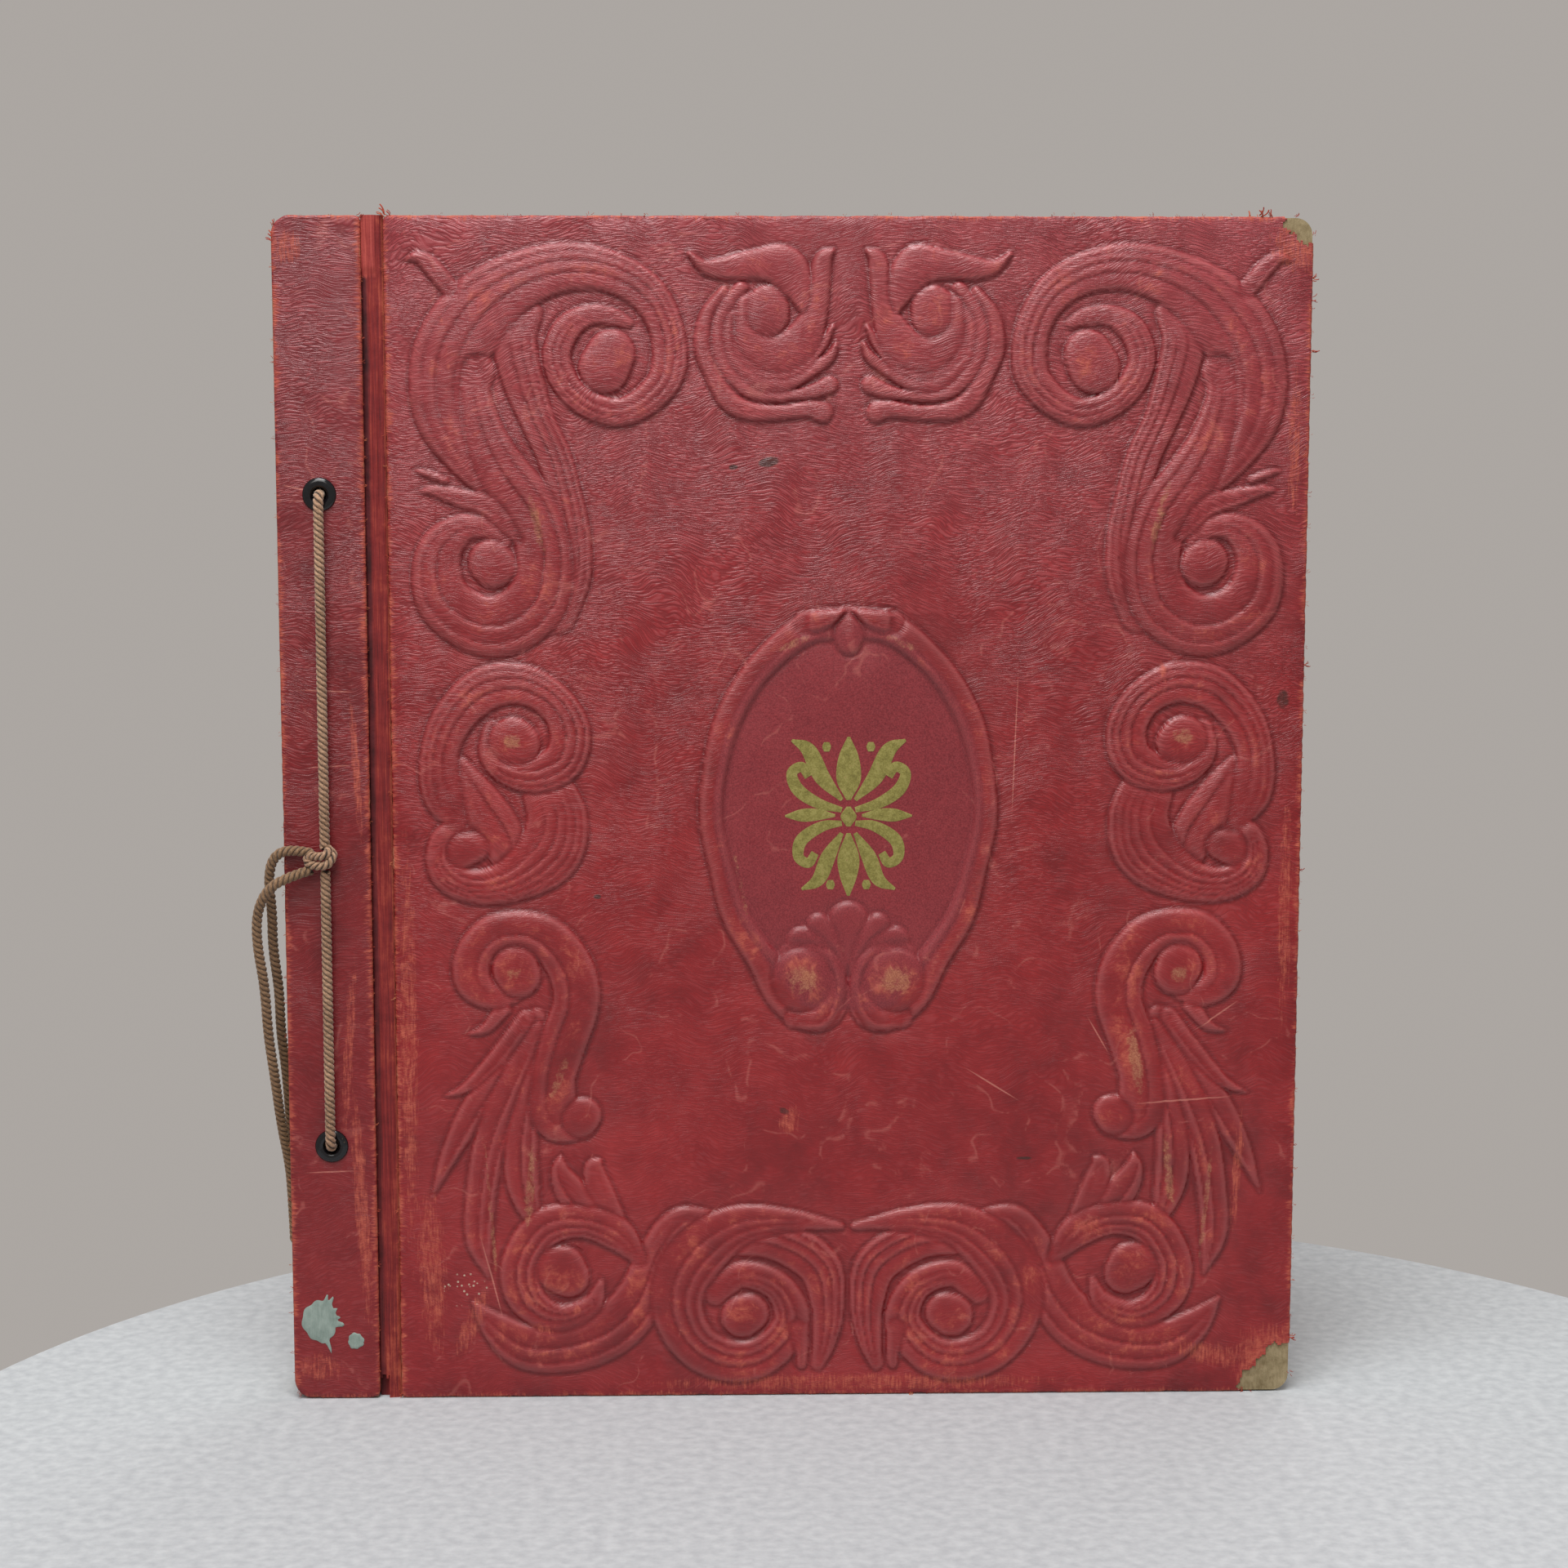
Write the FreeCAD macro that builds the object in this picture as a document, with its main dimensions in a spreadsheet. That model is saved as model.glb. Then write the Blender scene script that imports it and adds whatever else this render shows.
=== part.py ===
import FreeCAD, Part
import Sketcher
import math
import os
import re

# Cord-bound scrapbook album, standing upright on its tail edge.
# X runs from the binding edge to the fore edge, Z up, and the front cover faces -Y.
# The origin is the middle of the closed album's footprint. Lengths in millimetres.

V = FreeCAD.Vector
LEAVES = 16
SIDES = {"front": -1, "rear": 1}
HEIGHTS = ("upper", "lower")

SIZES = {
    "album_width": 305.0,
    "album_height": 356.0,
    # one cover, from its outer face inwards
    "skin": 0.5,
    "board": 2.4,
    "turn_in": 0.3,
    "lining": 0.3,
    "turn_in_width": 14.0,
    "lining_margin": 3.0,
    "corner_radius": 5.5,
    # binding strip and the hinge groove beside it
    "strip_width": 26.0,
    "strip_turn_in_width": 8.0,
    "strip_lining_margin": 2.0,
    "groove_width": 6.5,
    "groove_depth": 1.6,
    "cord_inset": 12.75,
    "upper_hole_height": 275.0,
    "lower_hole_height": 79.0,
    # leaves, and the guard strips that space them at the binding
    "leaf": 0.5,
    "guard": 0.5,
    "leaf_inset": 3.0,
    "binding_inset": 1.0,
    "guard_width": 28.0,
    "paper_hole_radius": 2.5,
    "first_crease": 33.0,
    "crease_half": 0.5,
    "fold_clearance": 0.05,
    # enamelled eyelets
    "eyelet_bore_radius": 2.1,
    "eyelet_barrel_radius": 2.5,
    "eyelet_lip_radius": 3.4,
    "eyelet_lip": 0.5,
    "eyelet_crest_radius": 3.3,
    "eyelet_crest": 1.0,
    "eyelet_throat": 0.2,
    "eyelet_rim_radius": 5.0,
    "board_hole_radius": 2.6,
    "lining_hole_radius": 3.6,
    # lacing cord and its knot
    "cord_diameter": 3.2,
    "cord_standoff": 2.75,
    "knot_half_width": 4.6,
    "knot_half_height": 5.0,
    "knot_half_depth": 3.2,
    "knot_height": 166.8,
    "knot_shift": -1.0,
}

FIRST_LEAF_DEG = 112.0

# Routes of the two free cord ends, from the knot round the binding edge and down behind it.
INNER_TAIL = [
    (-143.6, -14.0, 168.7),
    (-149.8, -14.0, 170.2),
    (-155.4, -13.1, 167.8),
    (-157.3, -10.8, 160.6),
    (-156.6, -8.8, 150.5),
    (-157.0, -6.8, 139.0),
    (-155.6, -4.6, 126.0),
    (-155.9, -1.6, 112.5),
    (-155.0, 2.4, 99.0),
    (-154.9, 6.6, 86.0),
    (-154.7, 9.4, 73.0),
]
OUTER_TAIL = [
    (-143.9, -14.8, 163.9),
    (-150.3, -16.0, 162.0),
    (-156.6, -15.8, 158.6),
    (-160.4, -13.9, 151.4),
    (-161.0, -11.8, 141.5),
    (-159.2, -9.4, 127.5),
    (-158.9, -7.2, 112.5),
    (-157.4, -4.4, 97.5),
    (-156.6, 0.2, 83.0),
    (-155.0, 5.4, 69.0),
    (-154.8, 8.6, 56.0),
    (-154.6, 9.6, 43.5),
]

doc = FreeCAD.newDocument("ScrapbookAlbum")
sheet = doc.addObject("Spreadsheet::Sheet", "Sizes")


def store(alias, number):
    """Write one named plain number into the next row of the sheet."""
    SIZES[alias] = number
    row = store.row
    sheet.set("A%d" % row, alias)
    sheet.set("B%d" % row, "%.4f" % number)
    sheet.setAlias("B%d" % row, alias)
    store.row += 1


def bind(thing, path, formula):
    """Bind a property to a formula written in the sheet's aliases."""
    thing.setExpression(path, re.sub(r"\b([a-z]\w*)", r"Sizes.\1", formula))


def place(thing, x, y, z):
    """Bind the three coordinates of a sub-part's Placement."""
    bind(thing, "Placement.Base.x", x)
    bind(thing, "Placement.Base.y", y)
    bind(thing, "Placement.Base.z", z)


def crease_offsets():
    """Distance of each leaf's crease from the binding edge.

    Behind a leaf that turns past square, the next crease steps towards the fore edge far enough
    for the folded leaves to lie over each other without meeting.
    """
    pitch = SIZES["leaf"] + SIZES["guard"]
    gap = SIZES["leaf"] + SIZES["fold_clearance"]
    offset = SIZES["first_crease"]
    found = []
    for number in range(LEAVES):
        found.append(offset)
        turn = math.radians(FIRST_LEAF_DEG * (LEAVES - number) / LEAVES)
        offset += max(0.0, (gap - pitch * math.cos(turn)) / math.sin(turn))
    return found


store.row = 1
for size_name, size_value in list(SIZES.items()):
    store(size_name, size_value)
store("cover_thickness", sum(SIZES[layer] for layer in ("skin", "board", "turn_in", "lining")))
store("cover_width", SIZES["album_width"] - SIZES["strip_width"] - SIZES["groove_width"])
store("block", LEAVES * SIZES["leaf"] + (LEAVES + 1) * SIZES["guard"])
store("half_block", SIZES["block"] / 2)
store("half_album", SIZES["half_block"] + SIZES["cover_thickness"])
store("half_width", SIZES["album_width"] / 2)
for leaf_index, crease_offset in enumerate(crease_offsets(), start=1):
    store("crease_%02d" % leaf_index, crease_offset)
doc.recompute()


# ---------------------------------------------------------------- building blocks

def origin_plane(body, role):
    """The body's own origin plane of the given role."""
    return next(f for f in body.Origin.OriginFeatures if f.Role == role)


def new_sketch(body, name, role):
    """A sketch lying on one of the body's origin planes."""
    sketch = body.newObject("Sketcher::SketchObject", name)
    sketch.AttachmentSupport = [(origin_plane(body, role), "")]
    sketch.MapMode = "FlatFace"
    return sketch


def rectangle(sketch, left, bottom, width, height):
    """A rectangle whose lower left corner stands off the sketch's origin by left and bottom."""
    corners = [V(1, 1, 0), V(11, 1, 0), V(11, 11, 0), V(1, 11, 0)]
    for index in range(4):
        sketch.addGeometry(Part.LineSegment(corners[index], corners[(index + 1) % 4]), False)
    for index in range(4):
        add_constraint(sketch, "Coincident", index, 2, (index + 1) % 4, 1)
        add_constraint(sketch, ("Horizontal", "Vertical")[index % 2], index)
    dimension(sketch, "DistanceX", (0, 1, 0, 2), width)
    dimension(sketch, "DistanceY", (1, 1, 1, 2), height)
    dimension(sketch, "DistanceX", (-1, 1, 0, 1), left)
    dimension(sketch, "DistanceY", (-1, 1, 0, 1), bottom)


def add_constraint(sketch, *values):
    """Add one geometric constraint."""
    return sketch.addConstraint(Sketcher.Constraint(*values))


def dimension(sketch, kind, ends, formula):
    """Add a driving dimension and bind it to the sheet."""
    index = add_constraint(sketch, kind, *ends, 1.0)
    bind(sketch, "Constraints[%d]" % index, formula)


def pad(body, sketch, length, towards_rear):
    """Pad a sketch of the XZ plane towards +Y (the rear) or -Y."""
    feature = body.newObject("PartDesign::Pad", sketch.Name + "Pad")
    feature.Profile = sketch
    feature.Type = "Length"
    bind(feature, "Length", length)
    feature.Reversed = towards_rear
    sketch.Visibility = False
    return feature


def bore_holes(body, name, across, rise, radius):
    """Two round holes for the cord, at the two eyelet heights."""
    sketch = new_sketch(body, name, "XZ_Plane")
    for index, height in enumerate(HEIGHTS):
        sketch.addGeometry(Part.Circle(V(10, 50 * (index + 1), 0), V(0, 0, 1), 2), False)
        dimension(sketch, "Radius", (index,), radius)
        dimension(sketch, "DistanceX", (-1, 1, index, 3), across)
        dimension(sketch, "DistanceY", (-1, 1, index, 3), "%s_hole_height - %s" % (height, rise))
    cut = body.newObject("PartDesign::Pocket", name + "Pocket")
    cut.Profile = sketch
    cut.Type = "ThroughAll"
    cut.Midplane = True


def round_corners(body, radius, local_x):
    """Round the corner edges that run through the thickness at one end of a plate."""
    doc.recompute()
    base = body.Tip
    names = []
    for index, edge in enumerate(base.Shape.Edges, start=1):
        start, end = edge.Vertexes[0].Point, edge.Vertexes[-1].Point
        through = abs(start.x - end.x) < 1e-6 and abs(start.z - end.z) < 1e-6
        on_edge = min(abs(start.z - z) for z in (base.Shape.BoundBox.ZMin, base.Shape.BoundBox.ZMax))
        if through and abs(start.x - local_x) < 1e-6 and on_edge < 1e-6:
            names.append("Edge%d" % index)
    fillet = body.newObject("PartDesign::Fillet", body.Name + "Corners")
    fillet.Base = (base, names)
    bind(fillet, "Radius", radius)


def end_x(body, outer_end):
    """Local X of the plate's outer end: 'left' for a strip, 'right' for a cover."""
    box = body.Tip.Shape.BoundBox
    return box.XMin if outer_end == "left" else box.XMax


def plate(label, width, height, thickness, rounded=None, radius="corner_radius"):
    """An upright plate padded towards -Y, with its outer corners rounded if asked."""
    body = doc.addObject("PartDesign::Body", label)
    body.Label = label
    sketch = new_sketch(body, label + "Outline", "XZ_Plane")
    rectangle(sketch, "0", "0", width, height)
    pad(body, sketch, thickness, False)
    if rounded:
        doc.recompute()
        round_corners(body, radius, end_x(body, rounded))
    return body


def layer_y(side, depth, thickness):
    """Formula for the rear-facing side of a layer that starts at a depth under the outer face."""
    if side == "front":
        return "-half_album + %s + %s" % (depth, thickness)
    return "half_album - (%s)" % depth


def drill(name, radius, length, y_front):
    """Two rods along Y, at the eyelet heights, that cut holes for the cord or the eyelets."""
    rods = []
    for height in HEIGHTS:
        rod = doc.addObject("Part::Cylinder", "%s_%s" % (name, height))
        bind(rod, "Radius", radius)
        bind(rod, "Height", length)
        rod.Placement.Rotation = FreeCAD.Rotation(V(1, 0, 0), -90)
        place(rod, "-half_width + cord_inset", y_front, height + "_hole_height")
        rods.append(rod)
    pair = doc.addObject("Part::Compound", name)
    pair.Links = rods
    return pair


# ---------------------------------------------------------------- covers and binding strips

def board(side, panel, left, width, rounded, bored):
    """The stiff board inside a cover or strip, shorter than it by the skin all round."""
    label = "%s_%s_board" % (side, panel)
    body = plate(label, width + " - 2 * skin", "album_height - 2 * skin", "board", rounded,
                 "corner_radius - skin")
    if bored:
        bore_holes(body, label + "Holes", "cord_inset - skin", "skin", "board_hole_radius")
    place(body, "-half_width + %s + skin" % left, layer_y(side, "skin", "board"), "skin")
    return body


def lining(side, panel, left, width, turn_in, margin, bored):
    """Pasted-down paper: a sheet, thicker where it fills the window between the turn-ins."""
    label = "%s_%s_lining" % (side, panel)
    body = doc.addObject("PartDesign::Body", label)
    body.Label = label
    inwards = side == "front"
    paper = new_sketch(body, label + "Sheet", "XZ_Plane")
    rectangle(paper, margin, margin, "%s - 2 * %s" % (width, margin), "album_height - 2 * " + margin)
    pad(body, paper, "lining", inwards)
    window = new_sketch(body, label + "Window", "XZ_Plane")
    rectangle(window, turn_in, turn_in, "%s - 2 * %s" % (width, turn_in), "album_height - 2 * " + turn_in)
    pad(body, window, "turn_in", not inwards)
    if bored:
        bore_holes(body, label + "Holes", "cord_inset", "0", "lining_hole_radius")
    place(body, "-half_width + " + left, layer_y(side, "cover_thickness - lining", "0"), "0")
    return body


def covering(side, panel, left, width, rounded, bored, stiffener, paper):
    """Leatherette wrapped round the board's edges and turned in under the lining."""
    label = "%s_%s_covering" % (side, panel)
    blank = plate(label + "_blank", width, "album_height", "cover_thickness - lining", rounded)
    if bored:
        bore_holes(blank, label + "Holes", "cord_inset", "0", "board_hole_radius")
    place(blank, "-half_width + " + left, layer_y(side, "0", "cover_thickness - lining"), "0")
    wrap = doc.addObject("Part::Cut", label + "_wrap")
    wrap.Base = blank
    wrap.Tool = stiffener
    skin = doc.addObject("Part::Cut", label + "_pasted")
    skin.Base = wrap
    skin.Tool = paper
    if not bored:
        skin.Label = label
        return skin
    # the turned-in layer is cleared round the eyelets' lips
    clearing = doc.addObject("Part::Cut", label)
    clearing.Label = label
    clearing.Base = skin
    start = "-half_album + skin" if side == "front" else "half_album - skin - board - turn_in"
    clearing.Tool = drill(label + "_drill", "lining_hole_radius", "board + turn_in", start)
    return clearing


def panel_parts(side, panel, left, width, rounded, turn_in, margin, bored):
    """The three layers of one cover or binding strip."""
    stiffener = board(side, panel, left, width, rounded, bored)
    paper = lining(side, panel, left, width, turn_in, margin, bored)
    return [stiffener, paper, covering(side, panel, left, width, rounded, bored, stiffener, paper)]


def hinge_cloths(side):
    """The flexible skin at the bottom of the groove, and the paper joint behind it."""
    found = []
    for name, depth, thickness in (("outer", "groove_depth", "skin"),
                                   ("inner", "cover_thickness - lining", "lining")):
        cloth = plate("%s_hinge_%s" % (side, name), "groove_width", "album_height", thickness)
        place(cloth, "-half_width + strip_width", layer_y(side, depth, thickness), "0")
        found.append(cloth)
    return found


# ---------------------------------------------------------------- eyelets

def dome_middle(foot, crest):
    """The point halfway along an arc from foot to crest whose centre stands right under the crest."""
    reach, rise = foot.x - crest.x, crest.y - foot.y
    radius = (reach ** 2 + rise ** 2) / (2 * rise)
    centre = V(crest.x, crest.y - radius, 0)
    half = (foot + crest) * 0.5 - centre
    return centre + half * (radius / half.Length)


def eyelet(side, height):
    """A domed eyelet: rim on the skin, barrel through the strip, lip rolled over inside."""
    label = "%s_%s_eyelet" % (side, height)
    body = doc.addObject("PartDesign::Body", label)
    body.Label = label
    sketch = new_sketch(body, label + "Profile", "XY_Plane")
    corners = [
        ("eyelet_bore_radius", "0"),
        ("eyelet_lip_radius", "0"),
        ("eyelet_lip_radius", "eyelet_lip"),
        ("eyelet_barrel_radius", "eyelet_lip"),
        ("eyelet_barrel_radius", "cover_thickness"),
        ("eyelet_rim_radius", "cover_thickness"),
        ("eyelet_crest_radius", "cover_thickness + eyelet_crest"),
        ("eyelet_bore_radius", "cover_thickness - eyelet_throat"),
    ]
    top = SIZES["cover_thickness"]
    lip = SIZES["eyelet_lip"]
    heights = [0, 0, lip, lip, top, top, top + SIZES["eyelet_crest"], top - SIZES["eyelet_throat"]]
    points = [V(SIZES[across], high, 0) for (across, _), high in zip(corners, heights)]
    arc_middles = {5: dome_middle(points[5], points[6]), 6: dome_middle(points[7], points[6])}
    count = len(points)
    for index in range(count):
        start, end = points[index], points[(index + 1) % count]
        if index in arc_middles:
            sketch.addGeometry(Part.Arc(start, arc_middles[index], end), False)
        else:
            sketch.addGeometry(Part.LineSegment(start, end), False)
    # an arc of the sketch runs anticlockwise, so it may start at its far end
    ends = [(1, 2) if (sketch.Geometry[index].StartPoint - points[index]).Length < 1e-6 else (2, 1)
            for index in range(count)]
    for index in range(count):
        following = (index + 1) % count
        add_constraint(sketch, "Coincident", index, ends[index][1], following, ends[following][0])
    for index, (across, along) in enumerate(corners):
        dimension(sketch, "DistanceX", (-1, 1, index, ends[index][0]), across)
        dimension(sketch, "DistanceY", (-1, 1, index, ends[index][0]), along)
    for index in arc_middles:
        dimension(sketch, "DistanceX", (-1, 1, index, 3), "eyelet_crest_radius")
    turn = body.newObject("PartDesign::Revolution", label + "Turned")
    turn.Profile = sketch
    turn.ReferenceAxis = (sketch, ["V_Axis"])
    turn.Angle = 360.0
    if side == "front":
        body.Placement.Rotation = FreeCAD.Rotation(V(0, 0, 1), 180)
    place(body, "-half_width + cord_inset", "%shalf_block" % ("-" if side == "front" else ""),
          height + "_hole_height")
    return body


# ---------------------------------------------------------------- leaves

def leaf_y(number):
    """Formula for the rear-facing side of a leaf, counted from the front."""
    return "-half_block + %d * (leaf + guard)" % number


def leaf_panel(number):
    """The free part of one leaf, from its crease to the fore edge."""
    crease = "crease_%02d + crease_half" % number
    body = plate("leaf_%02d" % number, "album_width - leaf_inset - (%s)" % crease,
                 "album_height - 2 * leaf_inset", "leaf")
    place(body, "-half_width + " + crease, leaf_y(number), "leaf_inset")
    return body


def paper_slab(name, start, length, y_front):
    """One plain rectangle of paper at the binding."""
    slab = doc.addObject("Part::Box", name)
    bind(slab, "Length", length)
    bind(slab, "Width", "leaf" if "guard" not in name else "guard")
    bind(slab, "Height", "album_height - 2 * leaf_inset")
    place(slab, "-half_width + " + start, y_front, "leaf_inset")
    return slab


def paper_stack(label, slabs):
    """A group of separate bored sheets in one node."""
    stack = doc.addObject("Part::Compound", label + "_sheets")
    stack.Links = slabs
    bored = doc.addObject("Part::Cut", label)
    bored.Label = label
    bored.Base = stack
    bored.Tool = drill(label + "_drill", "paper_hole_radius", "block", "-half_block")
    return bored


def leaf_margins():
    """The bound margin of every leaf, up to its crease."""
    slabs = []
    for number in range(1, LEAVES + 1):
        length = "crease_%02d - crease_half - binding_inset" % number
        slabs.append(paper_slab("margin_%02d" % number, "binding_inset", length,
                                leaf_y(number) + " - leaf"))
    return paper_stack("leaf_margins", slabs)


def guard_strips():
    """The spacing strips between the leaves' margins and outside the first and last."""
    slabs = []
    for number in range(LEAVES + 1):
        slabs.append(paper_slab("guard_%02d" % (number + 1), "binding_inset", "guard_width",
                                leaf_y(number)))
    return paper_stack("guard_strips", slabs)


def leaf_creases():
    """The scored fold of every leaf, between its margin and its free part."""
    folds = []
    for number in range(1, LEAVES + 1):
        folds.append(paper_slab("fold_%02d" % number, "crease_%02d - crease_half" % number,
                                "2 * crease_half", leaf_y(number) + " - leaf"))
    group = doc.addObject("Part::Compound", "leaf_creases")
    group.Label = "leaf_creases"
    group.Links = folds
    return group


# ---------------------------------------------------------------- cord and knot

def cord_edges(points, radii=None, name="cord"):
    """Straight runs joined by tangent arcs, and the length of the whole path."""
    route = [V(*point) for point in points]
    edges = []
    start = route[0]
    used = []
    for index in range(1, len(route) - 1):
        corner = route[index]
        back = route[index - 1] - corner
        ahead = route[index + 1] - corner
        half_turn = (math.pi - back.getAngle(ahead)) / 2
        radius = radii[index - 1] if radii else 0.45 * min(back.Length, ahead.Length) / math.tan(half_turn)
        reach = radius * math.tan(half_turn)
        back.normalize()
        ahead.normalize()
        first = corner + back * reach
        last = corner + ahead * reach
        middle = corner + (back + ahead).normalize() * (radius / math.cos(half_turn) - radius)
        edges.append(Part.LineSegment(start, first).toShape())
        edges.append(Part.Arc(first, middle, last).toShape())
        start = last
        used.append(radius)
    edges.append(Part.LineSegment(start, route[-1]).toShape())
    length = sum(edge.Length for edge in edges)
    print("%s: length %.1f mm, radii %s" % (name, length, ", ".join("%.1f" % r for r in used)))
    return edges, length


def cord_tube(label, points, radii=None):
    """A plain round tube along a cord's route."""
    edges, length = cord_edges(points, radii, label)
    spine = Part.Wire(edges)
    radius = SIZES["cord_diameter"] / 2
    direction = V(*points[1]) - V(*points[0])
    section = Part.Wire(Part.Circle(V(*points[0]), direction, radius).toShape())
    tube = doc.addObject("Part::Feature", label)
    tube.Label = label
    tube.Shape = spine.makePipeShell([section], True, True)
    expected = math.pi * radius ** 2 * length
    if abs(tube.Shape.Volume - expected) > 0.01 * expected:
        raise ValueError("%s: volume %.1f, expected %.1f" % (label, tube.Shape.Volume, expected))
    return tube


def binding_cord():
    """The lacing: up from the knot, through the upper eyelets, down the back and up to the knot."""
    across = -SIZES["half_width"] + SIZES["cord_inset"]
    face = SIZES["half_album"] + SIZES["cord_standoff"]
    top, bottom = SIZES["upper_hole_height"], SIZES["lower_hole_height"]
    knot = SIZES["knot_height"]
    reach = SIZES["knot_half_height"] - 1.5
    tight = SIZES["cord_diameter"]
    points = [
        (across, -face, knot + reach),
        (across, -face, top),
        (across, face, top),
        (across, face, bottom),
        (across, -face, bottom),
        (across, -face, knot - reach),
    ]
    return cord_tube("binding_cord", points, [tight] * 4)


def knot():
    """The outer shape of the knot that closes the lacing on the front strip."""
    lump = doc.addObject("Part::Ellipsoid", "cord_knot")
    lump.Label = "cord_knot"
    bind(lump, "Radius1", "knot_half_height")
    bind(lump, "Radius2", "knot_half_width")
    bind(lump, "Radius3", "knot_half_depth")
    place(lump, "-half_width + cord_inset + knot_shift",
          "-half_album - knot_half_depth - 0.05", "knot_height")
    return lump


# ---------------------------------------------------------------- the album

def build_album():
    """Every sub-part of the album, in order from the front."""
    parts = []
    for side in SIDES:
        parts += panel_parts(side, "strip", "0", "strip_width", "left",
                             "strip_turn_in_width", "strip_lining_margin", True)
        parts += panel_parts(side, "cover", "strip_width + groove_width", "cover_width", "right",
                             "turn_in_width", "lining_margin", False)
        parts += hinge_cloths(side)
        parts += [eyelet(side, height) for height in HEIGHTS]
    parts += [leaf_panel(number) for number in range(1, LEAVES + 1)]
    parts += [leaf_margins(), guard_strips(), leaf_creases()]
    parts += [binding_cord(), knot()]
    parts += [cord_tube("inner_tail", INNER_TAIL), cord_tube("outer_tail", OUTER_TAIL)]
    return parts


def check(parts):
    """Stop if any object failed or any sub-part has no sound solid."""
    for thing in doc.Objects:
        if "Invalid" in thing.State or "Error" in thing.State:
            raise ValueError("%s did not compute: %s" % (thing.Label, thing.State))
    for part in parts:
        if part.Shape.isNull() or not part.Shape.isValid() or not part.Shape.Solids:
            raise ValueError("%s has no valid solid" % part.Label)


def main():
    """Build, check and write one STEP file for each sub-part."""
    parts = build_album()
    doc.recompute()
    check(parts)
    os.makedirs("parts", exist_ok=True)
    for part in parts:
        part.Shape.exportStep("parts/%s.step" % part.Label)
        print("%-24s %2d solids %12.1f mm3" % (part.Label, len(part.Shape.Solids), part.Shape.Volume))


main()
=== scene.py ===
"""A laced scrapbook album: embossed leatherette covers, sixteen hinged leaves and a twisted cord."""
from __future__ import annotations

import logging
import math
from dataclasses import dataclass, field
from enum import Enum
from typing import Callable, Optional, Sequence, Union

import bpy
import numpy as np
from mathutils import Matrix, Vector


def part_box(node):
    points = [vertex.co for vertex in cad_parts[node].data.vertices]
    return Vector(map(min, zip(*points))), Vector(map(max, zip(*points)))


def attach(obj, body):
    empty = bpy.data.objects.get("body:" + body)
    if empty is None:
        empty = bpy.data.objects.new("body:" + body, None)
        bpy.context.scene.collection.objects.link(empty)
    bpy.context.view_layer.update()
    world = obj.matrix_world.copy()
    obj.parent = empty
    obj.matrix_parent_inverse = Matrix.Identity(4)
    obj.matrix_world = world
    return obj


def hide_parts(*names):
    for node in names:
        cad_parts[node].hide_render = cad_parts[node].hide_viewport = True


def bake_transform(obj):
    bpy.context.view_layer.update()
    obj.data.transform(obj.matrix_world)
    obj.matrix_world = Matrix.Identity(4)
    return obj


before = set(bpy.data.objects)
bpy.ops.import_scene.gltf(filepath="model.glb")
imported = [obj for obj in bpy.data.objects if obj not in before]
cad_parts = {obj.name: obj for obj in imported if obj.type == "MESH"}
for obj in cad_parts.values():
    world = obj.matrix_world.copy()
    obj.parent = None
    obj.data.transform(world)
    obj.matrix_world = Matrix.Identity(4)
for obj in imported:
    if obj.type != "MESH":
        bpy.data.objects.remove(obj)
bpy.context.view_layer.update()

MM = 0.001
GROOVE_FLAP = 16.5  # length of the torn cloth at the head of the groove, in millimetres
STROKE_SAMPLES = 14  # places worked out between two points of a stroke
log = logging.getLogger("album")
Point = tuple[float, float, float]
Colour = tuple[float, float, float, float]


# ---------------------------------------------------------------- shader arithmetic

class Shade:
    """A value or colour on its way through a material; arithmetic on it adds Math nodes."""

    def __init__(self, bench: "Bench", socket: bpy.types.NodeSocket) -> None:
        """Wraps one output socket of a bench's node tree."""
        self.bench = bench
        self.socket = socket

    def math(self, operation: str, *values: "Value") -> "Shade":
        """Adds one Math node.

        Args:
            operation: the Math node's operation.
            values: its inputs, in order.

        Returns:
            The node's result.
        """
        return self.bench.shade("ShaderNodeMath", {"operation": operation}, dict(enumerate(values)))

    def __add__(self, other: "Value") -> "Shade":
        """self + other."""
        return self.math("ADD", self, other)

    __radd__ = __add__

    def __mul__(self, other: "Value") -> "Shade":
        """self * other."""
        return self.math("MULTIPLY", self, other)

    __rmul__ = __mul__

    def __sub__(self, other: "Value") -> "Shade":
        """self - other."""
        return self.math("SUBTRACT", self, other)

    def __rsub__(self, other: "Value") -> "Shade":
        """other - self."""
        return self.math("SUBTRACT", other, self)

    def __truediv__(self, other: "Value") -> "Shade":
        """self / other."""
        return self.math("DIVIDE", self, other)

    def least(self, other: "Value") -> "Shade":
        """The smaller of two values."""
        return self.math("MINIMUM", self, other)

    def most(self, other: "Value") -> "Shade":
        """The larger of two values."""
        return self.math("MAXIMUM", self, other)

    def size(self) -> "Shade":
        """The value without its sign."""
        return self.math("ABSOLUTE", self)

    def sine(self) -> "Shade":
        """The sine of the value in radians."""
        return self.math("SINE", self)

    def step(self, low: float, high: float) -> "Shade":
        """Rises smoothly from 0 to 1.

        Args:
            low: the value that gives 0.
            high: the value that gives 1.

        Returns:
            The eased step.
        """
        ends = {"Value": self, "From Min": low, "From Max": high}
        return self.bench.shade("ShaderNodeMapRange", {"interpolation_type": "SMOOTHSTEP"}, ends)


Value = Union[Shade, float, tuple]


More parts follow.
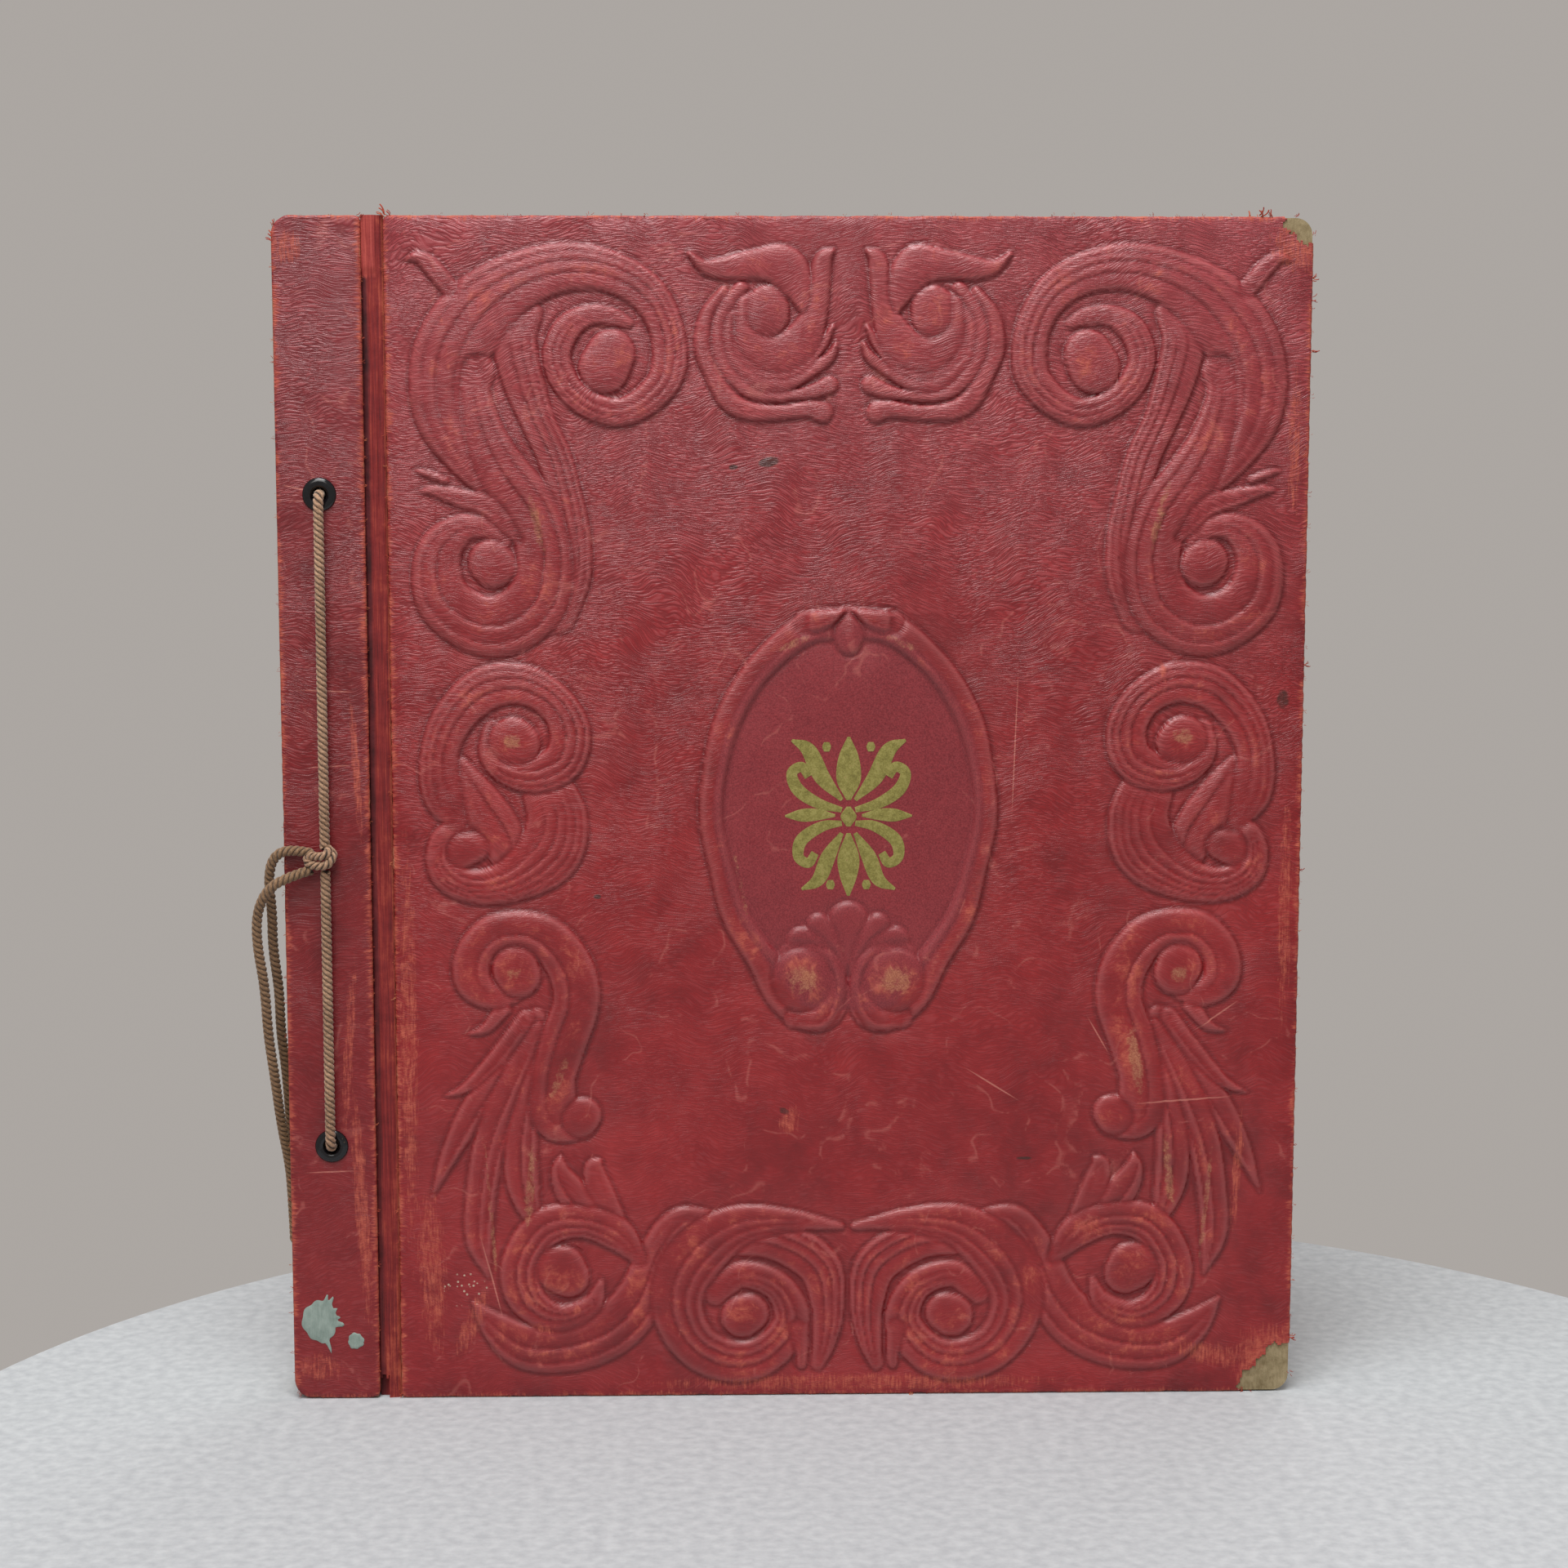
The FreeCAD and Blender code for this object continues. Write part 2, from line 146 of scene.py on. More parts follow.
def tint(red: int, green: int, blue: int) -> Colour:
    """A colour named by its screen values.

    Args:
        red: red, from 0 to 255.
        green: green, from 0 to 255.
        blue: blue, from 0 to 255.

    Returns:
        The linear colour that a shader takes.
    """
    def linear(value: int) -> float:
        """One channel, from screen value to light."""
        share = value / 255
        return share / 12.92 if share <= 0.04045 else ((share + 0.055) / 1.055) ** 2.4
    return linear(red), linear(green), linear(blue), 1.0


class Bench:
    """The node tree of one material, with the few patterns that every finish uses."""

    def __init__(self, name: str) -> None:
        """Starts an empty material of this name.

        Args:
            name: the material's name.
        """
        self.material = bpy.data.materials.new(name)
        self.material.use_nodes = True
        self.tree = self.material.node_tree
        self.tree.nodes.clear()

    def node(self, kind: str, settings: Optional[dict] = None,
             sockets: Optional[dict] = None) -> bpy.types.Node:
        """Adds any node.

        Args:
            kind: the node's type.
            settings: its properties, set first; "stops" fills a colour ramp.
            sockets: values or links of its inputs, by name or number.

        Returns:
            The node.
        """
        made = self.tree.nodes.new(kind)
        for key, value in (settings or {}).items():
            if key == "stops":
                self._fill_ramp(made.color_ramp, value)
            else:
                setattr(made, key, value)
        for key, value in (sockets or {}).items():
            if isinstance(value, Shade):
                self.tree.links.new(value.socket, made.inputs[key])
            else:
                made.inputs[key].default_value = value
        return made

    @staticmethod
    def _fill_ramp(ramp: bpy.types.ColorRamp, stops: Sequence[tuple[float, Colour]]) -> None:
        """Gives a colour ramp its stops.

        Args:
            ramp: the ramp to fill.
            stops: place and colour of each stop, from low to high.
        """
        while len(ramp.elements) < len(stops):
            ramp.elements.new(1.0)
        for element, (place, colour) in zip(ramp.elements, stops):
            element.position = place
            element.color = colour

    def shade(self, kind: str, settings: Optional[dict] = None, sockets: Optional[dict] = None,
              output: int = 0) -> Shade:
        """Adds any node and returns one of its outputs.

        Args:
            kind: the node's type.
            settings: its properties.
            sockets: values or links of its inputs.
            output: the number of the output wanted.

        Returns:
            That output.
        """
        return Shade(self, self.node(kind, settings, sockets).outputs[output])

    def place(self) -> Shade:
        """The point on the surface, in the album's own frame."""
        return self.shade("ShaderNodeTexCoord", output=3)

    def axes(self, vector: Shade) -> tuple[Shade, Shade, Shade]:
        """The three parts of a vector."""
        parted = self.node("ShaderNodeSeparateXYZ", None, {0: vector})
        return tuple(Shade(self, socket) for socket in parted.outputs)

    def stretch(self, vector: Shade, scale: Point) -> Shade:
        """A vector with each part multiplied."""
        return self.shade("ShaderNodeVectorMath", {"operation": "MULTIPLY"}, {0: vector, 1: scale})

    def noise(self, vector: Shade, scale: float, detail: float = 3.0, rough: float = 0.5,
              output: int = 0) -> Shade:
        """Cloudy noise.

        Args:
            vector: where it is read.
            scale: features per metre.
            detail: octaves.
            rough: how much the small octaves count.
            output: 0 for a value, 1 for a colour.

        Returns:
            The noise, from 0 to 1.
        """
        sockets = {"Vector": vector, "Scale": scale, "Detail": detail, "Roughness": rough}
        return self.shade("ShaderNodeTexNoise", None, sockets, output)

    def cells(self, vector: Shade, scale: float) -> Shade:
        """The distance to the nearest of many scattered points."""
        return self.shade("ShaderNodeTexVoronoi", None, {"Vector": vector, "Scale": scale})

    def drift(self, vector: Shade, scale: float, reach: float) -> Shade:
        """A vector pushed about by slow noise.

        Args:
            vector: the vector.
            scale: swirls per metre.
            reach: how far a point may be pushed, in metres.

        Returns:
            The moved vector.
        """
        push = self.noise(vector, scale, 2.0, output=1)
        away = self.shade("ShaderNodeVectorMath", {"operation": "SUBTRACT"}, {0: push, 1: (0.5,) * 3})
        far = self.shade("ShaderNodeVectorMath", {"operation": "SCALE"}, {0: away, "Scale": reach * 2})
        return self.shade("ShaderNodeVectorMath", {"operation": "ADD"}, {0: vector, 1: far})

    def attribute(self, name: str) -> Shade:
        """A value kept on the mesh."""
        return self.shade("ShaderNodeAttribute", {"attribute_name": name}, output=2)

    def ramp(self, factor: Shade, *stops: tuple[float, Colour]) -> Shade:
        """A colour picked along a ramp."""
        return self.shade("ShaderNodeValToRGB", {"stops": stops}, {0: factor})

    def mix(self, factor: Value, first: Value, second: Value, blend: str = "MIX") -> Shade:
        """Two colours mixed.

        Args:
            factor: the share of the second.
            first: the colour underneath.
            second: the colour on top.
            blend: how the second is laid on.

        Returns:
            The mixed colour.
        """
        return self.shade("ShaderNodeMix", {"data_type": "RGBA", "blend_type": blend},
                          {0: factor, 6: first, 7: second}, 2)

    def bump(self, height: Shade, depth: float, over: Optional[Shade] = None) -> Shade:
        """A surface normal with relief too fine for the mesh.

        Args:
            height: the relief, from 0 to 1.
            depth: how deep 1 is, in metres.
            over: a normal that the relief is laid over.

        Returns:
            The new normal.
        """
        sockets = {"Height": height, "Distance": depth}
        if over is not None:
            sockets["Normal"] = over
        return self.shade("ShaderNodeBump", None, sockets)

    def finish(self, colour: Value, rough: Value, normal: Optional[Shade] = None,
               **fixed: Value) -> bpy.types.Material:
        """Ends the tree in one surface.

        Args:
            colour: base colour.
            rough: roughness.
            normal: the bumped normal.
            fixed: other sockets, with _ for each space of their names.

        Returns:
            The material.
        """
        sockets = {"Base Color": colour, "Roughness": rough}
        sockets.update({name.replace("_", " "): value for name, value in fixed.items()})
        if normal is not None:
            sockets["Normal"] = normal
        surface = self.shade("ShaderNodeBsdfPrincipled", None, sockets)
        self.node("ShaderNodeOutputMaterial", None, {0: surface})
        return self.material


# ---------------------------------------------------------------- finishes

class Mark(Enum):
    """What a mark on the leatherette looks like."""

    RUB = "rub"
    STAIN = "stain"
    CREASE = "crease"
    SPECK = "speck"
    BALD = "bald"


@dataclass(frozen=True)
class Scar:
    """One mark of use on a cover or strip, placed by its middle."""

    kind: Mark
    across: float
    up: float
    length: float
    width: float
    lean: float = 0.0
    strength: float = 1.0


@dataclass(frozen=True)
class Leatherette:
    """Red embossed bookcloth: wavy grain, rubbed edges and the marks of use, with a painted sheen on its
    upper part and painted shade and highlight on the embossing.
    """

    name: str
    low: Point
    high: Point
    scars: tuple[Scar, ...] = ()
    embossed: bool = False
    shade: float = 0.0

    def _mark(self, bench: Bench, place: Shade, scar: Scar) -> Shade:
        """The mask of one mark.

        Args:
            bench: the material being built.
            place: where on the piece.
            scar: the mark.

        Returns:
            1 on the mark and 0 off it, times its strength.
        """
        middle = (scar.across * MM, 0.0, scar.up * MM)
        size = (scar.length * MM / 2, 1.0, scar.width * MM / 2)
        lean = (0.0, math.radians(scar.lean), 0.0)
        inside = bench.shade("ShaderNodeMapping", {"vector_type": "TEXTURE"}, {
            "Vector": place, "Location": middle, "Rotation": lean, "Scale": size})
        flat = bench.stretch(inside, (1.0, 0.0, 1.0))
        reach = bench.shade("ShaderNodeVectorMath", {"operation": "LENGTH"}, {0: flat}, 1)
        return (1 - reach).step(0.0, 0.7) * scar.strength

    def _edges(self, bench: Bench, place: Shade, patch: Shade, dust: Shade) -> tuple[Shade, Shade]:
        """Wear along the board's edges.

        Args:
            bench: the material's bench.
            place: the point on the surface.
            patch: broad noise.
            dust: fine noise.

        Returns:
            How far the colour is rubbed off in comb-like lines, and how far the cloth itself is bare.
        """
        x, y, z = bench.axes(place)
        beside = (x - self.low[0]).least(self.high[0] - x)
        above = (z - self.low[2]).least(self.high[2] - z)
        behind = ((y - self.low[1]).least(self.high[1] - y) - 0.4 * MM).most(0.0) * 0.7
        level = bench.noise(bench.stretch(place, (240.0, 240.0, 1500.0)), 1.0, 2.0, 0.6)
        upright = bench.noise(bench.stretch(place, (1500.0, 240.0, 240.0)), 1.0, 2.0, 0.6)
        broad = patch * 1.3 - 0.65
        combed = (level * 1.5 + broad - (beside + behind) * 250.0).step(0.30, 0.85)
        combed = combed.most((upright * 1.5 + broad - (above + behind) * 330.0).step(0.30, 0.85))
        bare = (dust * 1.1 + broad - (beside.least(above) + behind) * 900.0).step(0.30, 0.62)
        return combed * 0.85, bare * 0.8

    def make(self) -> bpy.types.Material:
        """Builds the material.

        Returns:
            The material.
        """
        bench = Bench(self.name)
        place = bench.place()
        _, _, z = bench.axes(place)
        swirl = bench.drift(place, 27.0, 0.013)
        waves = bench.noise(bench.stretch(swirl, (235.0, 235.0, 1720.0)), 1.0, 1.2, 0.45)
        slope = (waves * 2 - 1).size()
        furrow = (1 - slope * 5.0).step(0.10, 0.90)
        land = slope.step(0.14, 0.42)
        pores = bench.noise(place, 2600.0, 2.0)
        cloud = bench.noise(place, 19.0, 5.0, 0.62)
        patch = bench.noise(place, 95.0, 4.0, 0.6)
        dust = bench.noise(bench.drift(place, 90.0, 0.004), 420.0, 4.0, 0.7)
        clear = (z.step(0.08, 0.30) * 0.66 + 0.34) * (cloud.step(0.32, 0.52) * 0.6 + 0.4)
        red = bench.ramp(cloud * 0.55 + patch * 0.45, (0.32, tint(106, 14, 20)),
                         (0.48, tint(136, 20, 26)), (0.64, tint(154, 32, 35)))
        # painted sheen: the upper part is mixed towards a lighter pink, standing in for the reflection of the
        # lamps above
        painted_sheen = z.step(0.18, 0.37) * (0.54 + cloud * 0.5)
        red = bench.mix(painted_sheen, red, bench.ramp(patch, (0.3, tint(136, 46, 54)), (0.7, tint(160, 62, 69))))
        red = bench.mix(self.shade, red, tint(58, 14, 20))
        combed, bare = self._edges(bench, place, patch, dust)
        rubbed, raw, grain = combed, bare, clear
        if self.embossed:
            high = bench.attribute("rise")
            # painted shade: the hollows and outlines of the embossing are darkened
            red = bench.mix(bench.attribute("hollow") * 0.45, red, tint(88, 14, 20))
            # painted highlight: the crests of the embossing are lightened
            red = bench.mix(bench.attribute("crest") * 0.28, red, tint(178, 100, 100))
            panel = bench.attribute("panel")
            plain = bench.ramp(pores, (0.3, tint(98, 26, 36)), (0.7, tint(146, 56, 62)))
            red = bench.mix(panel * 0.7, red, plain)
            grain = grain * (1 - panel * 0.85) * (1 - high * 0.45)
            low_down = 1 - z.step(0.03, 0.22)
            touch = (high * 0.5 + dust * 0.6 + patch * 0.9 + low_down * 0.12).step(1.20, 1.50)
            rubbed = rubbed.most(touch * 0.62)
        red = bench.mix(furrow * grain * 0.34, red, tint(76, 10, 16))
        red = bench.mix(land * grain * 0.27, red, tint(178, 102, 106))
        hair = bench.noise(bench.drift(place, 70.0, 0.006), 38.0, 1.0)
        scratch = (1 - (hair * 2 - 1).size() * 34.0).step(0.15, 1.0) * (patch + dust * 0.5).step(0.72, 0.86)
        red = bench.mix(scratch * 0.32, red, tint(180, 100, 92))
        stained: Optional[Shade] = None
        for scar in self.scars:
            mask = self._mark(bench, place, scar)
            if scar.kind is Mark.RUB:
                streak = bench.noise(bench.stretch(place, (1500.0, 1.0, 170.0)), 1.0, 3.0, 0.7)
                rubbed = rubbed.most((mask * 0.56 + streak * 1.5 + dust * 0.6).step(1.36, 1.86) * 0.72)
            elif scar.kind is Mark.CREASE:
                red = bench.mix((mask * (0.25 + dust)).step(0.1, 0.8) * 0.7, red, tint(186, 112, 100))
            elif scar.kind is Mark.STAIN:
                stain = (mask + dust * 0.7).step(0.75, 1.15) * mask.step(0.0, 0.25)
                stained = stain if stained is None else stained.most(stain)
            elif scar.kind is Mark.BALD:
                bald = (mask * 0.5 + dust * 1.1 + patch * 0.7).step(1.14, 1.52) * mask.step(0.0, 0.3)
                raw = raw.most(bald * 0.66)
            else:
                spots = (1 - bench.cells(place, 620.0) * 2.1).step(0.45, 0.7) * mask.step(0.1, 0.5)
                red = bench.mix(spots * 0.8, red, tint(190, 170, 150))
        worn_tone = bench.ramp(dust, (0.30, tint(152, 50, 40)), (0.64, tint(190, 94, 72)))
        colour = bench.mix(rubbed, red, worn_tone)
        bare_cloth = bench.ramp(pores, (0.35, tint(138, 82, 58)), (0.65, tint(178, 124, 92)))
        colour = bench.mix(raw, colour, bare_cloth)
        if stained is not None:
            colour = bench.mix(stained * 0.8, colour, tint(52, 30, 24))
        normal = bench.bump(land * grain - furrow * grain, 0.00007)
        normal = bench.bump(pores * 0.5 + dust * 0.6 + rubbed * dust, 0.00009, normal)
        rough = 0.36 + rubbed * 0.34 + raw * 0.4 + furrow * 0.12 + (patch - 0.5) * 0.25
        return bench.finish(colour, rough, normal, Specular_IOR_Level=0.5)


@dataclass(frozen=True)
class GrooveCloth:
    """The same bookcloth where it bends in the groove: dark in the slit, streaked and rubbed beside it."""

    name: str
    low: Point
    high: Point
    flap: float = GROOVE_FLAP * MM

    def make(self) -> bpy.types.Material:
        """Builds the material.

        Returns:
            The material.
        """
        bench = Bench(self.name)
        place = bench.place()
        x, _, z = bench.axes(bench.drift(place, 60.0, 0.0005))
        across = (x - self.low[0]) / (self.high[0] - self.low[0])
        streak = bench.noise(bench.stretch(place, (1900.0, 1.0, 45.0)), 1.0, 4.0, 0.7)
        patch = bench.noise(place, 130.0, 4.0, 0.65)
        dust = bench.noise(place, 700.0, 4.0, 0.7)
        colour = bench.ramp(streak * 0.7 + patch * 0.3, (0.34, tint(82, 20, 24)), (0.50, tint(122, 32, 33)),
                            (0.66, tint(156, 60, 48)))
        foot = 1 - z.step(0.01, 0.06)
        worn = (streak * 0.9 + patch * 0.8 + across * 0.2 + foot * 0.14).step(1.02, 1.34)
        rubbed = bench.ramp(dust, (0.3, tint(150, 56, 42)), (0.65, tint(186, 96, 70)))
        colour = bench.mix(worn * 0.7, colour, rubbed)
        slit = (1 - across.step(0.16, 0.34)) * (0.72 + z.step(0.05, 0.30) * 0.28)
        shadow = bench.ramp(patch, (0.35, tint(48, 10, 14)), (0.65, tint(86, 24, 30)))
        colour = bench.mix(slit, colour, shadow)
        rim = across.step(0.90, 0.98)
        colour = bench.mix(rim * (dust * 0.8 + 0.1), colour, tint(176, 92, 70))
        torn = (z + streak * 0.004).step(self.high[2] - self.flap, self.high[2] - self.flap + 0.0012)
        torn = torn * (1 - across.step(0.62, 0.70))
        fresh = bench.ramp(streak, (0.35, tint(132, 38, 40)), (0.65, tint(178, 78, 68)))
        colour = bench.mix(torn, colour, fresh)
        normal = bench.bump(streak * 0.7 + dust * 0.4, 0.0003)
        return bench.finish(colour, 0.62 + dust * 0.25, normal, Specular_IOR_Level=0.35)


@dataclass(frozen=True)
class Paper:
    """Album paper: fibres, a darker rim where air has reached it, and foxing."""

    name: str
    body: Colour
    aged: Colour
    rim_foot: float
    rim_head: float
    rim_fore: float
    foxing: float = 0.35
    rim_reach: float = 0.014

    def make(self) -> bpy.types.Material:
        """Builds the material.

        Returns:
            The material.
        """
        bench = Bench(self.name)
        place = bench.place()
        x, _, z = bench.axes(place)
        cloud = bench.noise(place, 16.0, 4.0, 0.6)
        fibre = bench.noise(bench.stretch(place, (900.0, 900.0, 2600.0)), 1.0, 4.0, 0.65)
        gap = (self.rim_fore - x).least((z - self.rim_foot).least(self.rim_head - z))
        rim = (1 - gap / self.rim_reach + (cloud - 0.5) * 1.6).step(0.0, 1.2)
        layer = bench.noise(bench.stretch(place, (20.0, 1150.0, 20.0)), 1.0, 1.0)
        colour = bench.mix(rim * 0.75, self.body, self.aged)
        colour = bench.mix((fibre * 0.5 + layer * 0.5).step(0.35, 0.75) * 0.35, colour, self.aged, "MULTIPLY")
        spots = (cloud * 0.5 + bench.noise(place, 260.0, 4.0, 0.75)).step(0.86, 0.96) * self.foxing
        colour = bench.mix(spots, colour, tint(150, 104, 62))
        normal = bench.bump(fibre, 0.00010)
        return bench.finish(colour, 0.82 + fibre * 0.12, normal, Specular_IOR_Level=0.25)


@dataclass(frozen=True)
class GreyBoard:
    """Pulp board as it shows where the covering has worn through."""

    name: str = "board_pulp"

    def make(self) -> bpy.types.Material:
        """Builds the material.

        Returns:
            The material.
        """
        bench = Bench(self.name)
        place = bench.place()
        lumps = bench.noise(place, 210.0, 5.0, 0.7)
        fibre = bench.noise(bench.stretch(place, (1400.0, 2600.0, 500.0)), 1.0, 4.0, 0.7)
        colour = bench.ramp(lumps * 0.6 + fibre * 0.4, (0.30, tint(104, 88, 60)),
                            (0.50, tint(141, 126, 96)), (0.68, tint(166, 150, 118)))
        colour = bench.mix((bench.noise(place, 90.0, 3.0)).step(0.56, 0.70) * 0.5, colour, tint(126, 78, 56))
        normal = bench.bump(lumps * 0.5 + fibre * 0.7, 0.0003)
        return bench.finish(colour, 0.9, normal, Specular_IOR_Level=0.2)


@dataclass(frozen=True)
class CordFibre:
    """Twisted cotton: yarns that wind round each strand, light on the outside, with painted shade where the
    strands turn in between each other.
    """

    name: str
    light: Colour
    dark: Colour
    yarn: float = 0.9 * MM

    def make(self) -> bpy.types.Material:
        """Builds the material.

        Returns:
            The material.
        """
        bench = Bench(self.name)
        along = bench.attribute("along")
        around = bench.attribute("around")
        inward = bench.attribute("inward")
        place = bench.place()
        wind = (along * (2 * math.pi / self.yarn) + around * (4 * math.pi)).sine()
        fuzz = bench.noise(place, 3200.0, 3.0, 0.7)
        soil = bench.noise(place, 60.0, 4.0, 0.6)
        tone = bench.ramp(wind * 0.05 + fuzz * 0.60 + soil * 0.40, (0.30, self.dark), (0.62, self.light))
        # painted shade between the strands, where the faces turn in towards the cord's middle
        colour = bench.mix((inward * 1.8).least(1.0), tone, tint(44, 28, 17))
        normal = bench.bump(wind * 0.2 + fuzz * 0.8, 0.00012)
        return bench.finish(colour, 0.85, normal, Specular_IOR_Level=0.25, Sheen_Weight=0.25)


@dataclass(frozen=True)
class Fluff:
    """Loose threads of the bookcloth, orange where the red has gone."""

    name: str = "loose_threads"

    def make(self) -> bpy.types.Material:
        """Builds the material.

        Returns:
            The material.
        """
        bench = Bench(self.name)
        place = bench.place()
        patch = bench.noise(place, 160.0, 3.0, 0.6)
        fuzz = bench.noise(place, 2400.0, 2.0)
        colour = bench.ramp(patch * 0.7 + fuzz * 0.3, (0.34, tint(128, 34, 34)), (0.50, tint(160, 66, 50)),
                            (0.64, tint(186, 120, 84)))
        return bench.finish(colour, 0.85, bench.bump(fuzz, 0.00005), Specular_IOR_Level=0.2)


@dataclass(frozen=True)
class Enamel:
    """Black stove enamel on the eyelets, with a few worn places."""

    name: str = "eyelet_enamel"

    def make(self) -> bpy.types.Material:
        """Builds the material.

        Returns:
            The material.
        """
        bench = Bench(self.name)
        place = bench.place()
        specks = bench.noise(place, 900.0, 4.0, 0.7)
        chips = specks.step(0.69, 0.73)
        colour = bench.mix(chips, bench.ramp(specks, (0.3, tint(5, 5, 8)), (0.7, tint(16, 15, 20))),
                           tint(122, 102, 74))
        normal = bench.bump(bench.noise(place, 500.0, 2.0), 0.00003)
        return bench.finish(colour, 0.10 + specks * 0.14 + chips * 0.3, normal, Metallic=chips * 0.8)


@dataclass(frozen=True)
class Gilding:
    """Blocked metal leaf, dull gold with rubbed patches."""

    name: str = "gold_blocking"

    def make(self) -> bpy.types.Material:
        """Builds the material.

        Returns:
            The material.
        """
        bench = Bench(self.name)
        place = bench.place()
        cloud = bench.noise(place, 420.0, 4.0, 0.65)
        fine = bench.noise(place, 2400.0, 3.0, 0.6)
        colour = bench.ramp(cloud * 0.6 + fine * 0.4, (0.30, tint(104, 96, 44)),
                            (0.50, tint(142, 134, 70)), (0.70, tint(178, 170, 104)))
        colour = bench.mix((cloud * 0.7 + fine * 0.5).step(0.70, 0.78) * 0.6, colour, tint(124, 62, 46))
        normal = bench.bump(fine, 0.00008)
        return bench.finish(colour, 0.42 + fine * 0.2, normal, Metallic=0.45)


@dataclass(frozen=True)
class Paint:
    """A dried splash of grey-green wall paint."""

    name: str = "paint_splash"

    def make(self) -> bpy.types.Material:
        """Builds the material.

        Returns:
            The material.
        """
        bench = Bench(self.name)
        place = bench.place()
        cloud = bench.noise(place, 300.0, 4.0, 0.6)
        streak = bench.noise(bench.stretch(place, (1500.0, 1.0, 250.0)), 1.0, 3.0)
        colour = bench.ramp(cloud * 0.6 + streak * 0.4, (0.32, tint(112, 128, 120)),
                            (0.66, tint(146, 160, 152)))
        normal = bench.bump(streak * 0.6 + cloud * 0.4, 0.00012)
        return bench.finish(colour, 0.55 + cloud * 0.2, normal)


# ---------------------------------------------------------------- mesh helpers

def mesh_object(name: str, points: np.ndarray, faces: Sequence[Sequence[int]],
                edges: Sequence[tuple[int, int]] = ()) -> bpy.types.Object:
    """Puts a mesh into the scene.

    Args:
        name: the object's name.
        points: corners, in metres.
        faces: corner numbers of each face.
        edges: loose edges, for a mesh that has no faces.

    Returns:
        The object, at the origin.
    """
    mesh = bpy.data.meshes.new(name)
    mesh.from_pydata(np.asarray(points, float).tolist(), list(edges), list(faces))
    mesh.update()
    made = bpy.data.objects.new(name, mesh)
    bpy.context.scene.collection.objects.link(made)
    return made


def settle(piece: bpy.types.Object) -> bpy.types.Object:
    """Turns a piece with modifiers into a plain mesh.

    Args:
        piece: the piece.

    Returns:
        The same object, without modifiers.
    """
    graph = bpy.context.evaluated_depsgraph_get()
    graph.update()
    plain = bpy.data.meshes.new_from_object(piece.evaluated_get(graph))
    piece.modifiers.clear()
    piece.data = plain
    return piece


def thicken(piece: bpy.types.Object, thickness: float, triangles: Optional[int] = None) -> bpy.types.Object:
    """Gives a sheet its thickness on the inner side, thinning its mesh first.

    Args:
        piece: an open sheet whose faces point outwards.
        thickness: in metres.
        triangles: the most that the sheet may have before it gets its thickness.

    Returns:
        The same object, closed and smooth.
    """
    if triangles:
        present = sum(len(face.vertices) - 2 for face in piece.data.polygons)
        if present > triangles:
            thin = piece.modifiers.new("thin", "DECIMATE")
            thin.ratio = triangles / present
            thin.use_collapse_triangulate = True
            settle(piece)
    solid = piece.modifiers.new("solid", "SOLIDIFY")
    solid.thickness = thickness
    solid.offset = -1.0
    settle(piece)
    smooth(piece)
    return piece


def smooth(piece: bpy.types.Object, angle: float = 50.0) -> None:
    """Shades a piece smooth, with sharp edges where it turns by more than an angle in degrees."""
    piece.data.shade_smooth()
    piece.data.set_sharp_from_angle(angle=math.radians(angle))


def keep_value(piece: bpy.types.Object, name: str, values: np.ndarray) -> None:
    """Keeps one value for each corner of a mesh, for its material to read."""
    kept = piece.data.attributes.new(name, "FLOAT", "POINT")
    kept.data.foreach_set("value", np.ascontiguousarray(values, np.float32))


def corners_of(piece: bpy.types.Object) -> np.ndarray:
    """The corners of a mesh as an array.

    Args:
        piece: the object whose mesh is read.

    Returns:
        One row for each corner.
    """
    found = np.zeros(len(piece.data.vertices) * 3, np.float32)
    piece.data.vertices.foreach_get("co", found)
    return found.reshape(-1, 3).astype(float)


def dress(piece: bpy.types.Object, material: bpy.types.Material) -> bpy.types.Object:
    """Gives a piece its material.

    Args:
        piece: the object.
        material: its finish.

    Returns:
        The same piece.
    """
    piece.data.materials.clear()
    piece.data.materials.append(material)
    return piece


def grid_faces(columns: int, rows: int) -> list[tuple[int, int, int, int]]:
    """The faces of a grid whose corners are counted column by column.

    Args:
        columns: corners across.
        rows: corners up each column.

    Returns:
        Four corner numbers for each face.
    """
    start = (np.arange(columns - 1)[:, None] * rows + np.arange(rows - 1)[None, :]).ravel()
    return np.stack([start, start + rows, start + rows + 1, start + 1], 1).tolist()


def ripple(place: np.ndarray, waves: Sequence[tuple[float, float, float]]) -> np.ndarray:
    """A sum of sine waves.

    Args:
        place: where it is read, in metres.
        waves: length of each wave in metres, its height and its phase.

    Returns:
        The height at each place.
    """
    return sum(high * np.sin(2 * math.pi * place / long + phase) for long, high, phase in waves)


# ---------------------------------------------------------------- embossing

@dataclass(frozen=True)
class Stroke:
    """One raised leaf or scroll: points are (mm from the middle line, mm up, half its width)."""

    name: str
    height: float
    flutes: int
    points: tuple[Point, ...]

    def samples(self, count: int = STROKE_SAMPLES) -> np.ndarray:
        """Points along the smooth line through the stroke's own points, with the half widths.

        Args:
            count: places worked out between two points.

        Returns:
            One row for each place.
        """
        own = np.asarray(self.points, float)
        full = np.vstack([2 * own[0] - own[1], own, 2 * own[-1] - own[-2]])
        share = np.linspace(0, 1, count, endpoint=False)[:, None]
        parts = []
        for before, start, end, after in zip(full, full[1:], full[2:], full[3:]):
            curve = 2 * start + (end - before) * share
            curve = curve + (2 * before - 5 * start + 4 * end - after) * share ** 2
            curve = curve + (3 * start - before - 3 * end + after) * share ** 3
            parts.append(curve / 2)
        found = np.vstack(parts + [own[-1:]])
        found[:, 2] = np.maximum(found[:, 2], 0.3)
        return found


